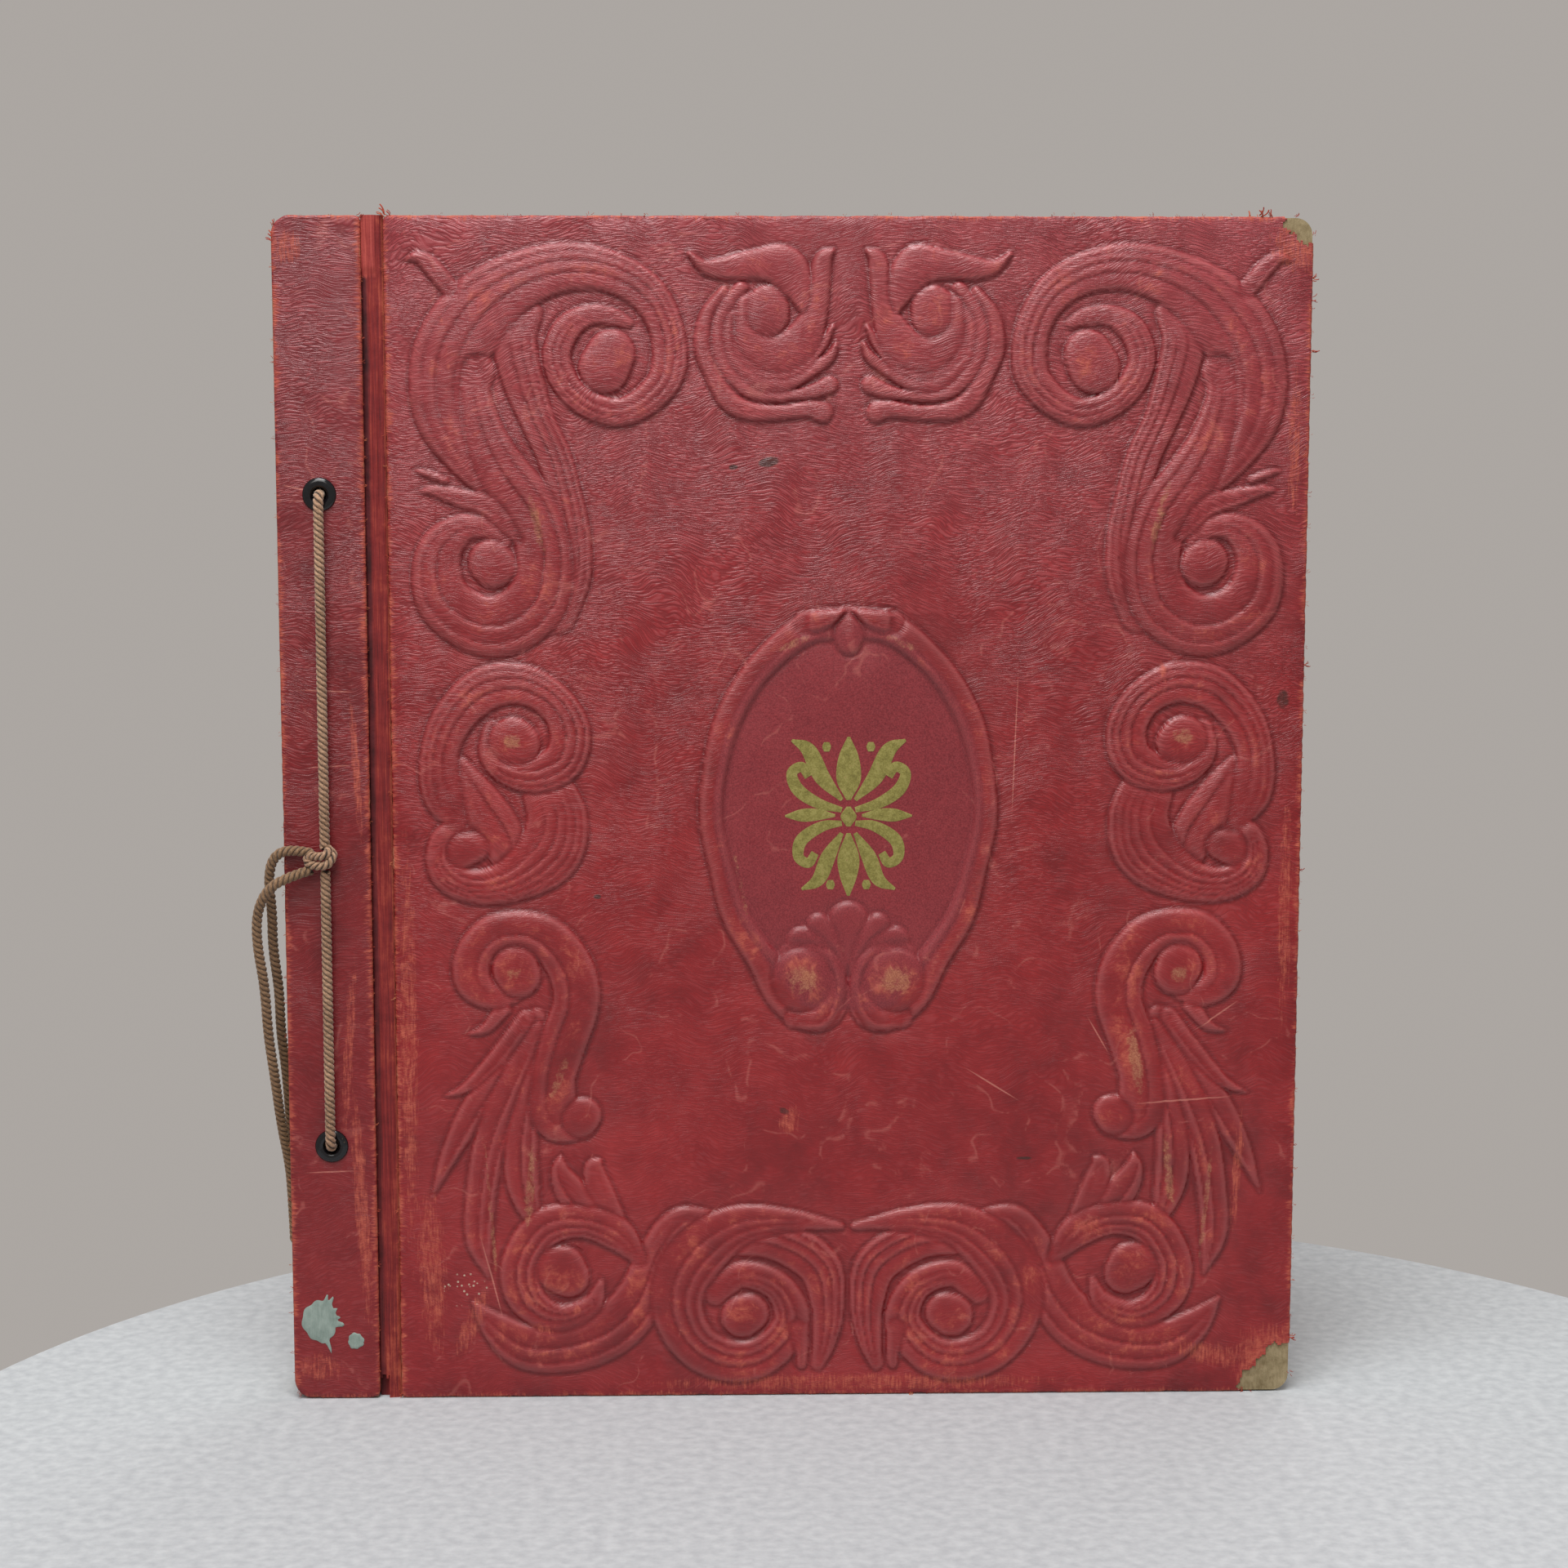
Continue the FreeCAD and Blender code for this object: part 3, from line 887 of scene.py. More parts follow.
BORDER = (
    Stroke("corner_flank", 1.3, 3, ((93, 328, 3.5), (98, 320, 6.5), (96, 309, 6.5), (92, 297, 5.5),
        (87, 286, 5.5), (84, 275, 5.5), (82, 263, 6), (82, 251, 6), (86, 239, 5.5))),
    Stroke("corner_crown", 1.6, 3, ((91, 258, 1.5), (101, 273, 4), (112, 286, 7), (118, 300, 10.5),
        (117, 315, 11.5), (110, 327, 11), (99, 336, 9), (84, 341, 7.5), (71, 340, 6.5), (60, 334, 6),
        (54, 324, 5.5), (53, 312, 5.5), (58, 304, 5), (67, 299, 4.5), (76, 301, 4.5), (83, 307, 4.5),
        (86, 315, 4.5), (83, 323, 4.5), (77, 327, 3.5), (70, 327, 3), (65, 325, 2))),
    Stroke("corner_eye", 1.8, 0, ((72, 312, 8), (70, 316, 7.5))),
    Stroke("corner_horn", 1.1, 1, ((117, 335, 3), (122, 341, 3), (126, 344, 2), (130, 343, 0.5))),
    Stroke("inner_scroll", 1.6, 2, ((109, 311, 5.5), (110, 306, 5), (109, 299, 5.5), (106, 289, 7),
        (101, 280, 8), (95, 272, 8.5), (91, 263, 8.5), (90, 254, 9), (92, 245, 9.5), (97, 239, 9.5),
        (105, 236, 9.5), (113, 238, 9), (120, 244, 8.5), (122, 253, 7.5), (120, 260, 6.5),
        (114, 265, 4.5), (107, 265, 3.5), (102, 261, 2.5))),
    Stroke("inner_eye", 1.6, 0, ((106, 255, 7), (105, 254, 7))),
    Stroke("inner_tip_low", 1.0, 1, ((98, 262, 2), (106, 271, 3.5), (115, 274, 3), (122, 276, 2),
        (127, 276, 0.5))),
    Stroke("inner_tip_high", 0.9, 0, ((119, 279, 1.5), (124, 281, 1.5), (128, 282, 0.5))),
    Stroke("middle_neck", 1.4, 1, ((116, 194, 3.5), (110, 183, 7), (104, 174, 7), (101, 165, 5.5))),
    Stroke("middle_fan", 1.4, 5, ((90, 188, 8), (87, 178, 9.5), (90, 168, 10), (101, 160, 7),
        (112, 158, 5.5), (120, 162, 5.5), (122, 169, 4.5), (119, 175, 3.5), (113, 174, 2.5))),
    Stroke("middle_small_eye", 1.5, 0, ((115, 169, 5.5), (112, 170, 5))),
    Stroke("middle_crown", 1.5, 3, ((117, 178, 3.5), (121, 186, 6.5), (122, 197, 6), (118, 208, 6.5),
        (109, 217, 7), (98, 219, 6.5), (88, 214, 6), (83, 205, 6.5), (85, 196, 6.5), (93, 192, 6),
        (101, 193, 5), (106, 198, 4.5), (106, 205, 3.5))),
    Stroke("middle_eye", 1.6, 0, ((100, 202, 7.5), (98, 201, 6.5))),
    Stroke("blade_2", 1.1, 1, ((94, 118, 3.5), (105, 102, 4.5), (114, 88, 4.5), (121, 75, 3),
        (126, 63, 0.6))),
    Stroke("blade_3", 1.2, 2, ((93, 114, 3.5), (102, 95, 5.5), (108, 80, 5.5), (111, 65, 5),
        (112, 50, 4.5), (109, 37, 0.6))),
    Stroke("blade_4", 1.2, 2, ((91, 108, 3.5), (97, 90, 4.5), (99, 76, 5.5), (98, 64, 5), (94, 50, 0.8))),
    Stroke("blade_1", 1.0, 1, ((97, 118, 3), (106, 106, 3), (115, 97, 2), (122, 94, 0.5))),
    Stroke("lower_tip", 0.9, 0, ((104, 121, 3), (109, 115, 2), (115, 113, 0.5))),
    Stroke("lower_body", 1.5, 1, ((81, 86, 6), (88, 88, 8), (89, 98, 7), (86, 110, 7.5), (82, 122, 7.5),
        (83, 132, 7.5), (89, 141, 7), (97, 145, 6), (106, 144, 6), (112, 138, 6), (113, 130, 6),
        (108, 125, 4.5), (101, 125, 3))),
    Stroke("lower_eye", 1.6, 0, ((100, 133, 7.5), (99, 131, 7))),
    Stroke("lower_hook", 1.3, 0, ((80, 88, 6), (81, 87, 6))),
    Stroke("foot_band", 1.3, 2, ((42, 58, 1), (51, 54, 5.5), (58, 44, 6.5), (63, 31, 8), (72, 21, 8.5),
        (85, 16, 8.5), (98, 16, 7.5), (107, 22, 5), (114, 30, 1))),
    Stroke("foot_leaf_big", 1.1, 1, ((63, 45, 2), (72, 54, 4.5), (82, 62, 5.5), (87, 70, 3.5),
        (87, 76, 0.5))),
    Stroke("foot_leaf_small", 0.9, 0, ((67, 52, 1.5), (74, 63, 4), (77, 71, 3.5), (75, 74, 1))),
    Stroke("foot_scroll", 1.4, 3, ((63, 43, 2.5), (70, 51, 5.5), (81, 55, 5.5), (92, 53, 6.5),
        (99, 43, 6.5), (99, 34, 6.5), (95, 28, 5.5), (87, 25, 4.5), (78, 29, 3.5), (75, 36, 1.5))),
    Stroke("foot_eye", 1.5, 0, ((87, 40, 8), (85, 38, 7))),
    Stroke("base_sweep", 1.2, 3, ((40, 49, 5.5), (23, 49, 6.5), (9, 41, 7), (6, 28, 5.5), (7, 17, 4),
        (9, 10, 2.5))),
    Stroke("base_fan", 1.3, 3, ((2, 53, 1.5), (18, 55, 4), (34, 53, 7), (47, 43, 9.5), (52, 30, 8.5),
        (47, 17, 7.5), (36, 11, 7), (25, 13, 6.5), (17, 23, 6), (21, 34, 5), (32, 38, 4.5), (40, 32, 4))),
    Stroke("base_eye", 1.4, 0, ((32, 25, 7), (30, 26, 6.5))),
    Stroke("base_tongue", 1.0, 0, ((15, 21, 3.5), (14, 15, 2.5), (14, 10, 2))),
    Stroke("crest_bar", 1.3, 0, ((37, 334, 2), (42, 327, 2.5), (43, 318, 3), (40, 310, 3), (35, 302, 3.5),
        (28, 299, 3), (19, 299, 2.5), (12, 300, 3), (8, 299, 3.5))),
    Stroke("crest_rib_1", 1.2, 0, ((32, 335, 2.5), (37, 327, 3), (38, 318, 3), (35, 311, 3), (30, 306, 3),
        (23, 304, 2.5), (17, 304, 2), (11, 305, 2.5), (6, 307, 3))),
    Stroke("crest_rib_2", 1.2, 0, ((29, 332, 2.5), (34, 325, 3), (34, 318, 3), (31, 313, 3.5),
        (25, 308, 3.5), (18, 308, 3), (12, 311, 2.5), (6, 315, 2), (4, 319, 1))),
    Stroke("crest_rib_3", 1.2, 0, ((32, 324, 2.5), (32, 318, 2.5), (29, 314, 2.5), (24, 311, 2.5),
        (19, 311, 2.5), (13, 314, 2.5), (8, 319, 2), (5, 324, 1))),
    Stroke("crest_stem", 1.5, 0, ((5, 346, 1), (8, 343, 3), (9, 335, 3.5), (11, 326, 4.5), (15, 319, 6),
        (22, 316, 6), (28, 319, 5), (30, 325, 4), (30, 330, 3.5))),
    Stroke("crest_ball", 1.6, 0, ((24, 330, 6.5), (24, 327, 6.5))),
    Stroke("crest_tail", 1.5, 0, ((47, 345, 1), (42, 341, 2.5), (35, 341, 4), (26, 342, 5), (19, 341, 6.5),
        (15, 334, 4), (14, 329, 1.5))),
)

MEDALLION = (
    Stroke("ring", 1.5, 1, ((0, 237, 5.5), (13, 235, 5), (27, 223, 4.5), (36, 208, 4.5), (40, 192, 4),
        (41, 178, 4), (38, 163, 4), (34, 149, 4.5), (26, 136, 5), (18, 125, 7), (9, 120, 7), (3, 126, 5))),
    Stroke("shell_top", 1.1, 0, ((0, 134, 1.5), (0, 141, 4), (0, 147, 6.5))),
    Stroke("shell_middle", 1.1, 0, ((1, 132, 1.5), (6, 141, 3.5), (9, 146, 4))),
    Stroke("shell_low", 1.1, 0, ((3, 131, 2), (9, 138, 4), (14, 141, 5))),
    Stroke("knob_curl", 1.4, 1, ((16, 136, 5.5), (8, 134, 5.5), (5, 127, 5), (8, 118, 4), (16, 118, 4))),
    Stroke("knob", 1.9, 0, ((14, 130, 9.5), (14, 129, 9.5))),
    Stroke("tongue", 0.9, 0, ((0, 239, 1), (0, 234, 4.5), (0, 231, 4))),
    Stroke("leaf", 1.9, 1, ((1, 241, 0.5), (7, 238, 3), (13, 237, 4))),
)

FLEURON = (
    Stroke("bud", 0.3, 0, ((0, 203, 0.4), (0, 197, 3.0), (0, 190, 3.6), (0, 184, 0.7))),
    Stroke("upper_leaf", 0.3, 0, ((2, 184, 0.6), (8, 191, 2.4), (12, 199, 2.2), (17, 202, 0.4))),
    Stroke("upper_scroll", 0.3, 0, ((2, 181, 0.8), (9, 183, 1.6), (15, 187, 1.9), (17, 192, 1.6),
        (14, 194, 1.5), (12, 191, 1.2))),
    Stroke("waist", 0.3, 0, ((0, 182, 0.6), (0, 179, 2.4), (0, 176, 0.6))),
    Stroke("lower_scroll", 0.3, 0, ((2, 177, 0.8), (8, 176, 1.6), (14, 172, 1.9), (15, 167, 1.6),
        (12, 165, 1.5), (10, 168, 1.2))),
    Stroke("lower_leaf", 0.3, 0, ((2, 174, 0.6), (6, 167, 2.2), (9, 160, 2.0), (14, 157, 0.4))),
    Stroke("drop", 0.3, 0, ((0, 174, 0.6), (0, 167, 3.2), (0, 161, 2.6), (0, 155, 0.4))),
    Stroke("side_bud", 0.3, 0, ((4, 179.3, 0.4), (9, 179.6, 1.7), (14, 179.4, 1.9), (19, 179.2, 0.3))),
    Stroke("upper_pearl", 0.3, 0, ((6.6, 198.6, 0.8), (6.6, 200, 1.3), (6.6, 201.4, 0.8))),
    Stroke("lower_pearl", 0.3, 0, ((5.4, 157.0, 0.8), (5.4, 158.4, 1.3), (5.4, 159.8, 0.8))),
)


@dataclass
class Relief:
    """The embossed pattern as a height map over the cover, in millimetres, alike on both sides."""

    middle: float
    low: tuple[float, float]
    high: tuple[float, float]
    step: float = 0.6
    moat: float = 0.30
    moat_reach: float = 1.3
    lowest: float = -0.34
    strength: float = 0.86
    flute_depth: float = 0.30
    flute_step: float = 0.52
    flute_skew: float = 0.34
    xs: np.ndarray = field(init=False)
    zs: np.ndarray = field(init=False)
    heights: np.ndarray = field(init=False)

    def __post_init__(self) -> None:
        """Works out the height map."""
        self.xs = np.arange(self.low[0], self.high[0] + self.step, self.step)
        self.zs = np.arange(self.low[1], self.high[1] + self.step, self.step)
        self.heights = np.zeros((len(self.zs), len(self.xs)))
        for stroke in BORDER + MEDALLION:
            line = stroke.samples()
            for side in (-1, 1):
                placed = line * (side, 1, 1) + (self.middle, 0, 0)
                self._press(placed, stroke.height * self.strength, stroke.flutes, side)
        self.heights = np.maximum(self.heights, self.lowest)

    def _press(self, line: np.ndarray, height: float, flutes: int, hand: int) -> None:
        """Raises one stroke, with a narrow moat round it.

        Args:
            line: points along it and the half widths.
            height: how far its middle stands up.
            flutes: overlapping folds along it.
            hand: 1, or -1 for a mirrored stroke.
        """
        ahead = np.gradient(line[:, :2], axis=0)
        ahead /= np.linalg.norm(ahead, axis=1)[:, None] + 1e-9
        margin = line[:, 2].max() + self.moat_reach + self.step
        across = np.flatnonzero((self.xs > line[:, 0].min() - margin) & (self.xs < line[:, 0].max() + margin))
        up = np.flatnonzero((self.zs > line[:, 1].min() - margin) & (self.zs < line[:, 1].max() + margin))
        window = np.s_[up[0]:up[-1] + 1, across[0]:across[-1] + 1]
        gx, gz = np.meshgrid(self.xs[across], self.zs[up])
        nearest = np.full(gx.shape, 1e9)
        distance, side, width, along = (np.zeros(gx.shape) for _ in range(4))
        for share, (px, pz, half), (tx, tz) in zip(np.linspace(0, 1, len(line)), line, ahead):
            dx, dz = gx - px, gz - pz
            far = np.hypot(dx, dz)
            closer = far / half < nearest
            nearest = np.where(closer, far / half, nearest)
            distance = np.where(closer, far, distance)
            width = np.where(closer, half, width)
            side = np.where(closer, hand * (dz * tx - dx * tz) / half, side)
            along = np.where(closer, share, along)
        reach = np.clip(nearest, 0, 1)
        own = height * np.sqrt(np.clip(1 - reach ** 2.6, 0, 1)) ** 0.9
        if flutes:
            side = np.clip(side, -1, 1)
            lane = (side + self.flute_skew * (1 - side ** 2) + 1) / 2 * (flutes + 1)
            fold = np.round(lane)
            groove = np.exp(-((lane - fold) / 0.13) ** 2) * ((fold > 0) & (fold <= flutes))
            rise = lane - np.floor(lane) - 0.5
            fade = np.sin(math.pi * np.clip(along, 0.02, 0.98)) ** 0.6 * np.clip(width / 5, 0, 1)
            fade = fade * np.clip(1 - reach, 0, 1) ** 0.3
            own = own + fade * (self.flute_step * rise - self.flute_depth * groove)
            own = own * np.interp(along, (0, 0.12, 0.86, 1), (0.5, 1, 1, 0.4))
        edge = np.clip((1 - nearest) * width / 0.9, 0, 1)
        edge = edge * edge * (3 - 2 * edge)
        before = self.heights[window]
        inside = nearest < 1
        after = np.where(inside, before * (1 - edge) + own * edge, before)
        moat = np.clip(1 - (distance - width) / self.moat_reach, 0, 1) ** 2
        self.heights[window] = after - self.moat * np.where(inside, 1 - edge, moat)

    def at(self, grid: np.ndarray, x: np.ndarray, z: np.ndarray) -> np.ndarray:
        """Reads a map of this size at places in millimetres.

        Args:
            grid: the map.
            x: places across.
            z: places up.

        Returns:
            The map's value at each place.
        """
        across = np.clip((x - self.low[0]) / self.step, 0, len(self.xs) - 1.001)
        up = np.clip((z - self.low[1]) / self.step, 0, len(self.zs) - 1.001)
        column, row = across.astype(int), up.astype(int)
        a, b = across - column, up - row
        foot = grid[row, column] * (1 - a) + grid[row, column + 1] * a
        head = grid[row + 1, column] * (1 - a) + grid[row + 1, column + 1] * a
        return foot * (1 - b) + head * b

    def sharpness(self) -> np.ndarray:
        """How far each place stands above its surroundings, in millimetres.

        Returns:
            One height for each place of the map.
        """
        blurred = self.heights
        for _ in range(3):
            padded = np.pad(blurred, 1, mode="edge")
            blurred = sum(padded[i:i + blurred.shape[0], j:j + blurred.shape[1]]
                          for i in range(3) for j in range(3)) / 9
        return self.heights - blurred

    def panel(self, x: np.ndarray, z: np.ndarray) -> np.ndarray:
        """1 inside the medallion's ring and 0 outside it.

        Args:
            x: places across.
            z: places up.

        Returns:
            The mask at each place.
        """
        ring = MEDALLION[0].samples()[:-STROKE_SAMPLES]
        order = np.argsort(ring[:, 1])
        half = np.interp(z, ring[order, 1], ring[order, 0], left=0, right=0)
        return np.clip(half - np.abs(x - self.middle), 0, 1)


# ---------------------------------------------------------------- coverings

@dataclass(frozen=True)
class Tear:
    """A corner where the covering is worn right through, with a ragged edge."""

    across: float
    up: float
    reach: float
    ragged: float
    phase: float

    def gone(self, x: np.ndarray, z: np.ndarray) -> np.ndarray:
        """Tells which places, in millimetres, have lost their covering.

        Args:
            x: places across.
            z: places up.

        Returns:
            True where the covering is gone.
        """
        dx, dz = x - self.across, z - self.up
        turn = np.arctan2(dz, dx)
        waves = np.sin(7 * turn + self.phase) + 0.6 * np.sin(19 * turn + 2 * self.phase)
        waves = waves + 0.4 * np.sin(43 * turn)
        return np.hypot(dx, dz) < self.reach + self.ragged * waves


@dataclass
class Covering:
    """Leatherette drawn over one board: the face, the rounded edge and the turned-in margin."""

    name: str
    node: str
    body: str
    corner_fore: float
    corner_back: float
    step: float
    triangles: int
    edge_round: float = 1.0
    least_corner: float = 0.4
    skin: float = 0.45
    turn_in: float = 12.0
    seed: float = 0.0
    tears: tuple[Tear, ...] = ()
    holes: tuple[tuple[float, float], ...] = ()
    hole_radius: float = 3.2

    def __post_init__(self) -> None:
        """Takes the board's place from its CAD node, in millimetres."""
        low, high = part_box(self.node)
        self.low = (low.x / MM, low.z / MM)
        self.high = (high.x / MM, high.z / MM)
        self.front = abs(low.y) > abs(high.y)
        self.face = (low.y if self.front else high.y) / MM
        self.inward = 1.0 if self.front else -1.0
        self.depth = (high.y - low.y) / MM

    def _face_grid(self) -> tuple[np.ndarray, int, int]:
        """The flat face out to where the edge starts to round, with its corners rounded off.

        Returns:
            The corners, and how many stand across and up.
        """
        inset = self.edge_round
        across = np.linspace(self.low[0] + inset, self.high[0] - inset,
                             int((self.high[0] - self.low[0]) / self.step) + 1)
        up = np.linspace(self.low[1] + inset, self.high[1] - inset,
                         int((self.high[1] - self.low[1]) / self.step) + 1)
        gx, gz = (part.copy() for part in np.meshgrid(across, up, indexing="ij"))
        for side in (-1, 1):
            radius = max((self.corner_fore if side > 0 else self.corner_back) - inset, self.least_corner)
            for end in (-1, 1):
                cx = (self.high[0] if side > 0 else self.low[0]) - side * (inset + radius)
                cz = (self.high[1] if end > 0 else self.low[1]) - end * (inset + radius)
                a, b = side * (gx - cx) / radius, end * (gz - cz) / radius
                near = (a > 0) & (b > 0)
                round_a = a * np.sqrt(np.clip(1 - b * b / 2, 0, 1))
                round_b = b * np.sqrt(np.clip(1 - a * a / 2, 0, 1))
                gx = np.where(near, cx + side * round_a * radius, gx)
                gz = np.where(near, cz + end * round_b * radius, gz)
        points = np.stack([gx.ravel(), np.zeros(gx.size), gz.ravel()], 1)
        return points, len(across), len(up)

    def _ring(self, border: np.ndarray, inset: float, depth: float) -> np.ndarray:
        """One line round the edge.

        Args:
            border: the face's own border points.
            inset: how far inside the outline the line runs.
            depth: how far behind the face it lies.

        Returns:
            Points of the line, one for each border point.
        """
        made = np.zeros((len(border), 3))
        made[:, 1] = depth
        start = self.edge_round
        axes = ((0, self.low[0], self.high[0]), (2, self.low[1], self.high[1]))
        fore_half = border[:, 0] > (self.low[0] + self.high[0]) / 2
        radius_here = np.where(fore_half, self.corner_fore, self.corner_back)
        old_radius = np.maximum(radius_here - start, self.least_corner)
        new_radius = np.maximum(radius_here - inset, self.least_corner)
        beyond = {}
        for axis, low, high in axes:
            place = border[:, axis]
            old_low, old_high = low + start + old_radius, high - start - old_radius
            new_low, new_high = low + inset + new_radius, high - inset - new_radius
            share = (place - old_low) / (old_high - old_low)
            inner = new_low + np.clip(share, 0, 1) * (new_high - new_low)
            beyond[axis] = np.minimum(place - old_low, 0) + np.maximum(place - old_high, 0)
            made[:, axis] = inner
        for axis, _, _ in axes:
            made[:, axis] += beyond[axis] * new_radius / old_radius
        return made

    def _profile(self) -> list[tuple[float, float]]:
        """Insets and depths of the lines from the face's border round to the turned-in margin.

        Returns:
            An inset and a depth for each line.
        """
        bend, back = self.edge_round, 0.6
        front = [(bend * (1 - math.sin(t)), bend * (1 - math.cos(t))) for t in np.radians((25, 50, 72, 90))]
        behind = [(back * (1 - math.cos(t)), self.depth - back + back * math.sin(t))
                  for t in np.radians((0, 45, 90))]
        margin = [(share * self.turn_in, self.depth) for share in (0.3, 0.65, 1.0)]
        return front + behind + margin

    def build(self, relief: Optional[Relief] = None) -> bpy.types.Object:
        """Builds the covering.

        Args:
            relief: the pattern pressed into its face, if it has one.

        Returns:
            The piece, riding on its body and standing for its CAD node.
        """
        face, columns, rows = self._face_grid()
        faces = grid_faces(columns, rows)
        number = np.arange(columns * rows).reshape(columns, rows)
        loop = np.concatenate([number[:, 0], number[-1, 1:], number[-2::-1, -1], number[0, -2:0:-1]])
        border = face[loop]
        wear = ripple((border[:, 0] + 1.7 * border[:, 2]) * MM, (
            (0.037, 0.10, self.seed), (0.013, 0.06, 1 + self.seed), (0.0051, 0.04, 2 + self.seed)))
        points, previous = [face], loop
        total = len(face)
        for inset, depth in self._profile():
            ring = self._ring(border, inset, depth)
            if inset < self.edge_round and depth < self.depth:
                ring[:, 1] += wear * 0.6
                middle = np.array([(self.low[0] + self.high[0]) / 2, 0, (self.low[1] + self.high[1]) / 2])
                pull = (middle - ring) / np.linalg.norm(middle - ring, axis=1)[:, None] * (1, 0, 1)
                ring += pull * np.abs(wear)[:, None] * 1.4
            current = total + np.arange(len(loop))
            total += len(loop)
            points.append(ring)
            nexts, befores = np.roll(current, -1), np.roll(previous, -1)
            faces += np.stack([previous, current, nexts, befores], 1).tolist()
            previous = current
        points = np.vstack(points)
        sag = ripple(points[:, 0] * MM, ((0.11, 0.05, self.seed), (0.043, 0.03, 1.0))) + ripple(
            points[:, 2] * MM, ((0.13, 0.06, self.seed), (0.031, 0.03, 2.0)))
        lift = np.zeros(len(points))
        lift[:len(face)] = sag[:len(face)] * 0.5
        if relief is not None:
            lift[:len(face)] += relief.at(relief.heights, face[:, 0], face[:, 2])
        flat = np.array(faces)
        middle = points[flat].mean(axis=1)
        gone = np.zeros(len(flat), bool)
        for tear in self.tears:
            gone |= tear.gone(middle[:, 0], middle[:, 2])
        for across, up in self.holes:
            gone |= np.hypot(middle[:, 0] - across, middle[:, 2] - up) < self.hole_radius
        kept = flat[~gone]
        if not self.front:
            kept = kept[:, ::-1]
        used, kept = np.unique(kept, return_inverse=True)
        kept = kept.reshape(-1, 4)
        points[:, 1] = self.face + self.inward * (points[:, 1] - lift)
        piece = mesh_object(self.name, points[used] * MM, kept.tolist())
        thicken(piece, self.skin * MM, self.triangles)
        smooth(piece, 70.0)
        if relief is not None:
            self._keep_relief(piece, relief)
        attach(piece, self.body)
        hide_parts(self.node)
        return piece

    def _keep_relief(self, piece: bpy.types.Object, relief: Relief) -> None:
        """Keeps on the mesh what the finish needs to know of the pattern.

        Args:
            piece: the covering.
            relief: its pattern.
        """
        place = corners_of(piece) / MM
        x, z = place[:, 0], place[:, 2]
        sharp = relief.at(relief.sharpness(), x, z)
        # crest and hollow are kept for the painted highlight on the embossing's ridges and the painted shade
        # in its hollows
        keep_value(piece, "crest", np.clip(sharp / 0.16, 0, 1))
        keep_value(piece, "hollow", np.clip(-sharp / 0.20, 0, 1))
        keep_value(piece, "rise", np.clip(relief.at(relief.heights, x, z) / 1.5, 0, 1))
        keep_value(piece, "panel", relief.panel(x, z))


@dataclass
class HingeCloth:
    """The cloth in one groove: the outer strip that shows and the thin strip inside."""

    side: str
    cover: str
    hollow: float = 0.9
    ridge: float = 0.22
    flap: float = GROOVE_FLAP
    notch: float = 7.5

    def build(self) -> list[bpy.types.Object]:
        """Builds both strips, curved across the groove between the binding and the cover."""
        return [self._strip("outer", 19, 300), self._strip("inner", 9, 90)]

    def _strip(self, layer: str, columns: int, rows: int) -> bpy.types.Object:
        """Builds one strip.

        Args:
            layer: outer or inner.
            columns: corners across.
            rows: corners up.

        Returns:
            The piece.
        """
        node = f"{self.side}_hinge_{layer}"
        low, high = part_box(node)
        inward = 1.0 if self.side == "front" else -1.0
        outer = layer == "outer"
        face = (low.y if inward > 0 else high.y)
        u, v = np.meshgrid(np.linspace(0, 1, columns), np.linspace(0, 1, rows), indexing="ij")
        x = low.x + (high.x - low.x) * u
        z = low.z + (high.z - low.z) * v
        if outer:
            wander = ripple(z, ((0.083, 0.05, 0.3), (0.029, 0.03, 1.1)))
            folds = np.sin((u + wander) * 5 * math.pi) * (0.6 + 0.4 * np.sin(z / 0.017 + 6 * u))
            creases = ripple(z + 0.004 * u, ((0.011, 0.04, 0.0), (0.0047, 0.03, 2.0)))
            crown = np.sin(math.pi * u) ** 0.7 * self.hollow
            lift = crown + folds * self.ridge + creases - (1 - u) ** 6 * 0.3
            torn = np.clip((z - high.z) / MM + self.flap, 0, 1) * np.clip((0.68 - u) / 0.05, 0, 1)
            lift = lift + torn * 0.45
        else:
            lift = ripple(z, ((0.06, 0.04, 0.0),)) * np.sin(math.pi * u)
        y = face - inward * lift * MM
        points = np.stack([x.ravel(), y.ravel(), z.ravel()], 1)
        faces = grid_faces(columns, rows)
        if outer and inward > 0:
            edge = self.notch + ripple(x, ((0.0021, 0.6, 0.4), (0.0008, 0.3, 1.0)))
            gone = ((z / MM < edge) & (u < 0.5)).ravel()
            faces = [face for face in faces if not gone[list(face)].all()]
        if inward < 0:
            faces = [face[::-1] for face in faces]
        name = "groove_cloth" if outer else "inner_hinge"
        piece = mesh_object(f"{self.side}_{name}", points, faces)
        thicken(piece, (high.y - low.y) * 0.9)
        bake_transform(piece)
        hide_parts(node)
        return piece


# ---------------------------------------------------------------- trees that follow a path

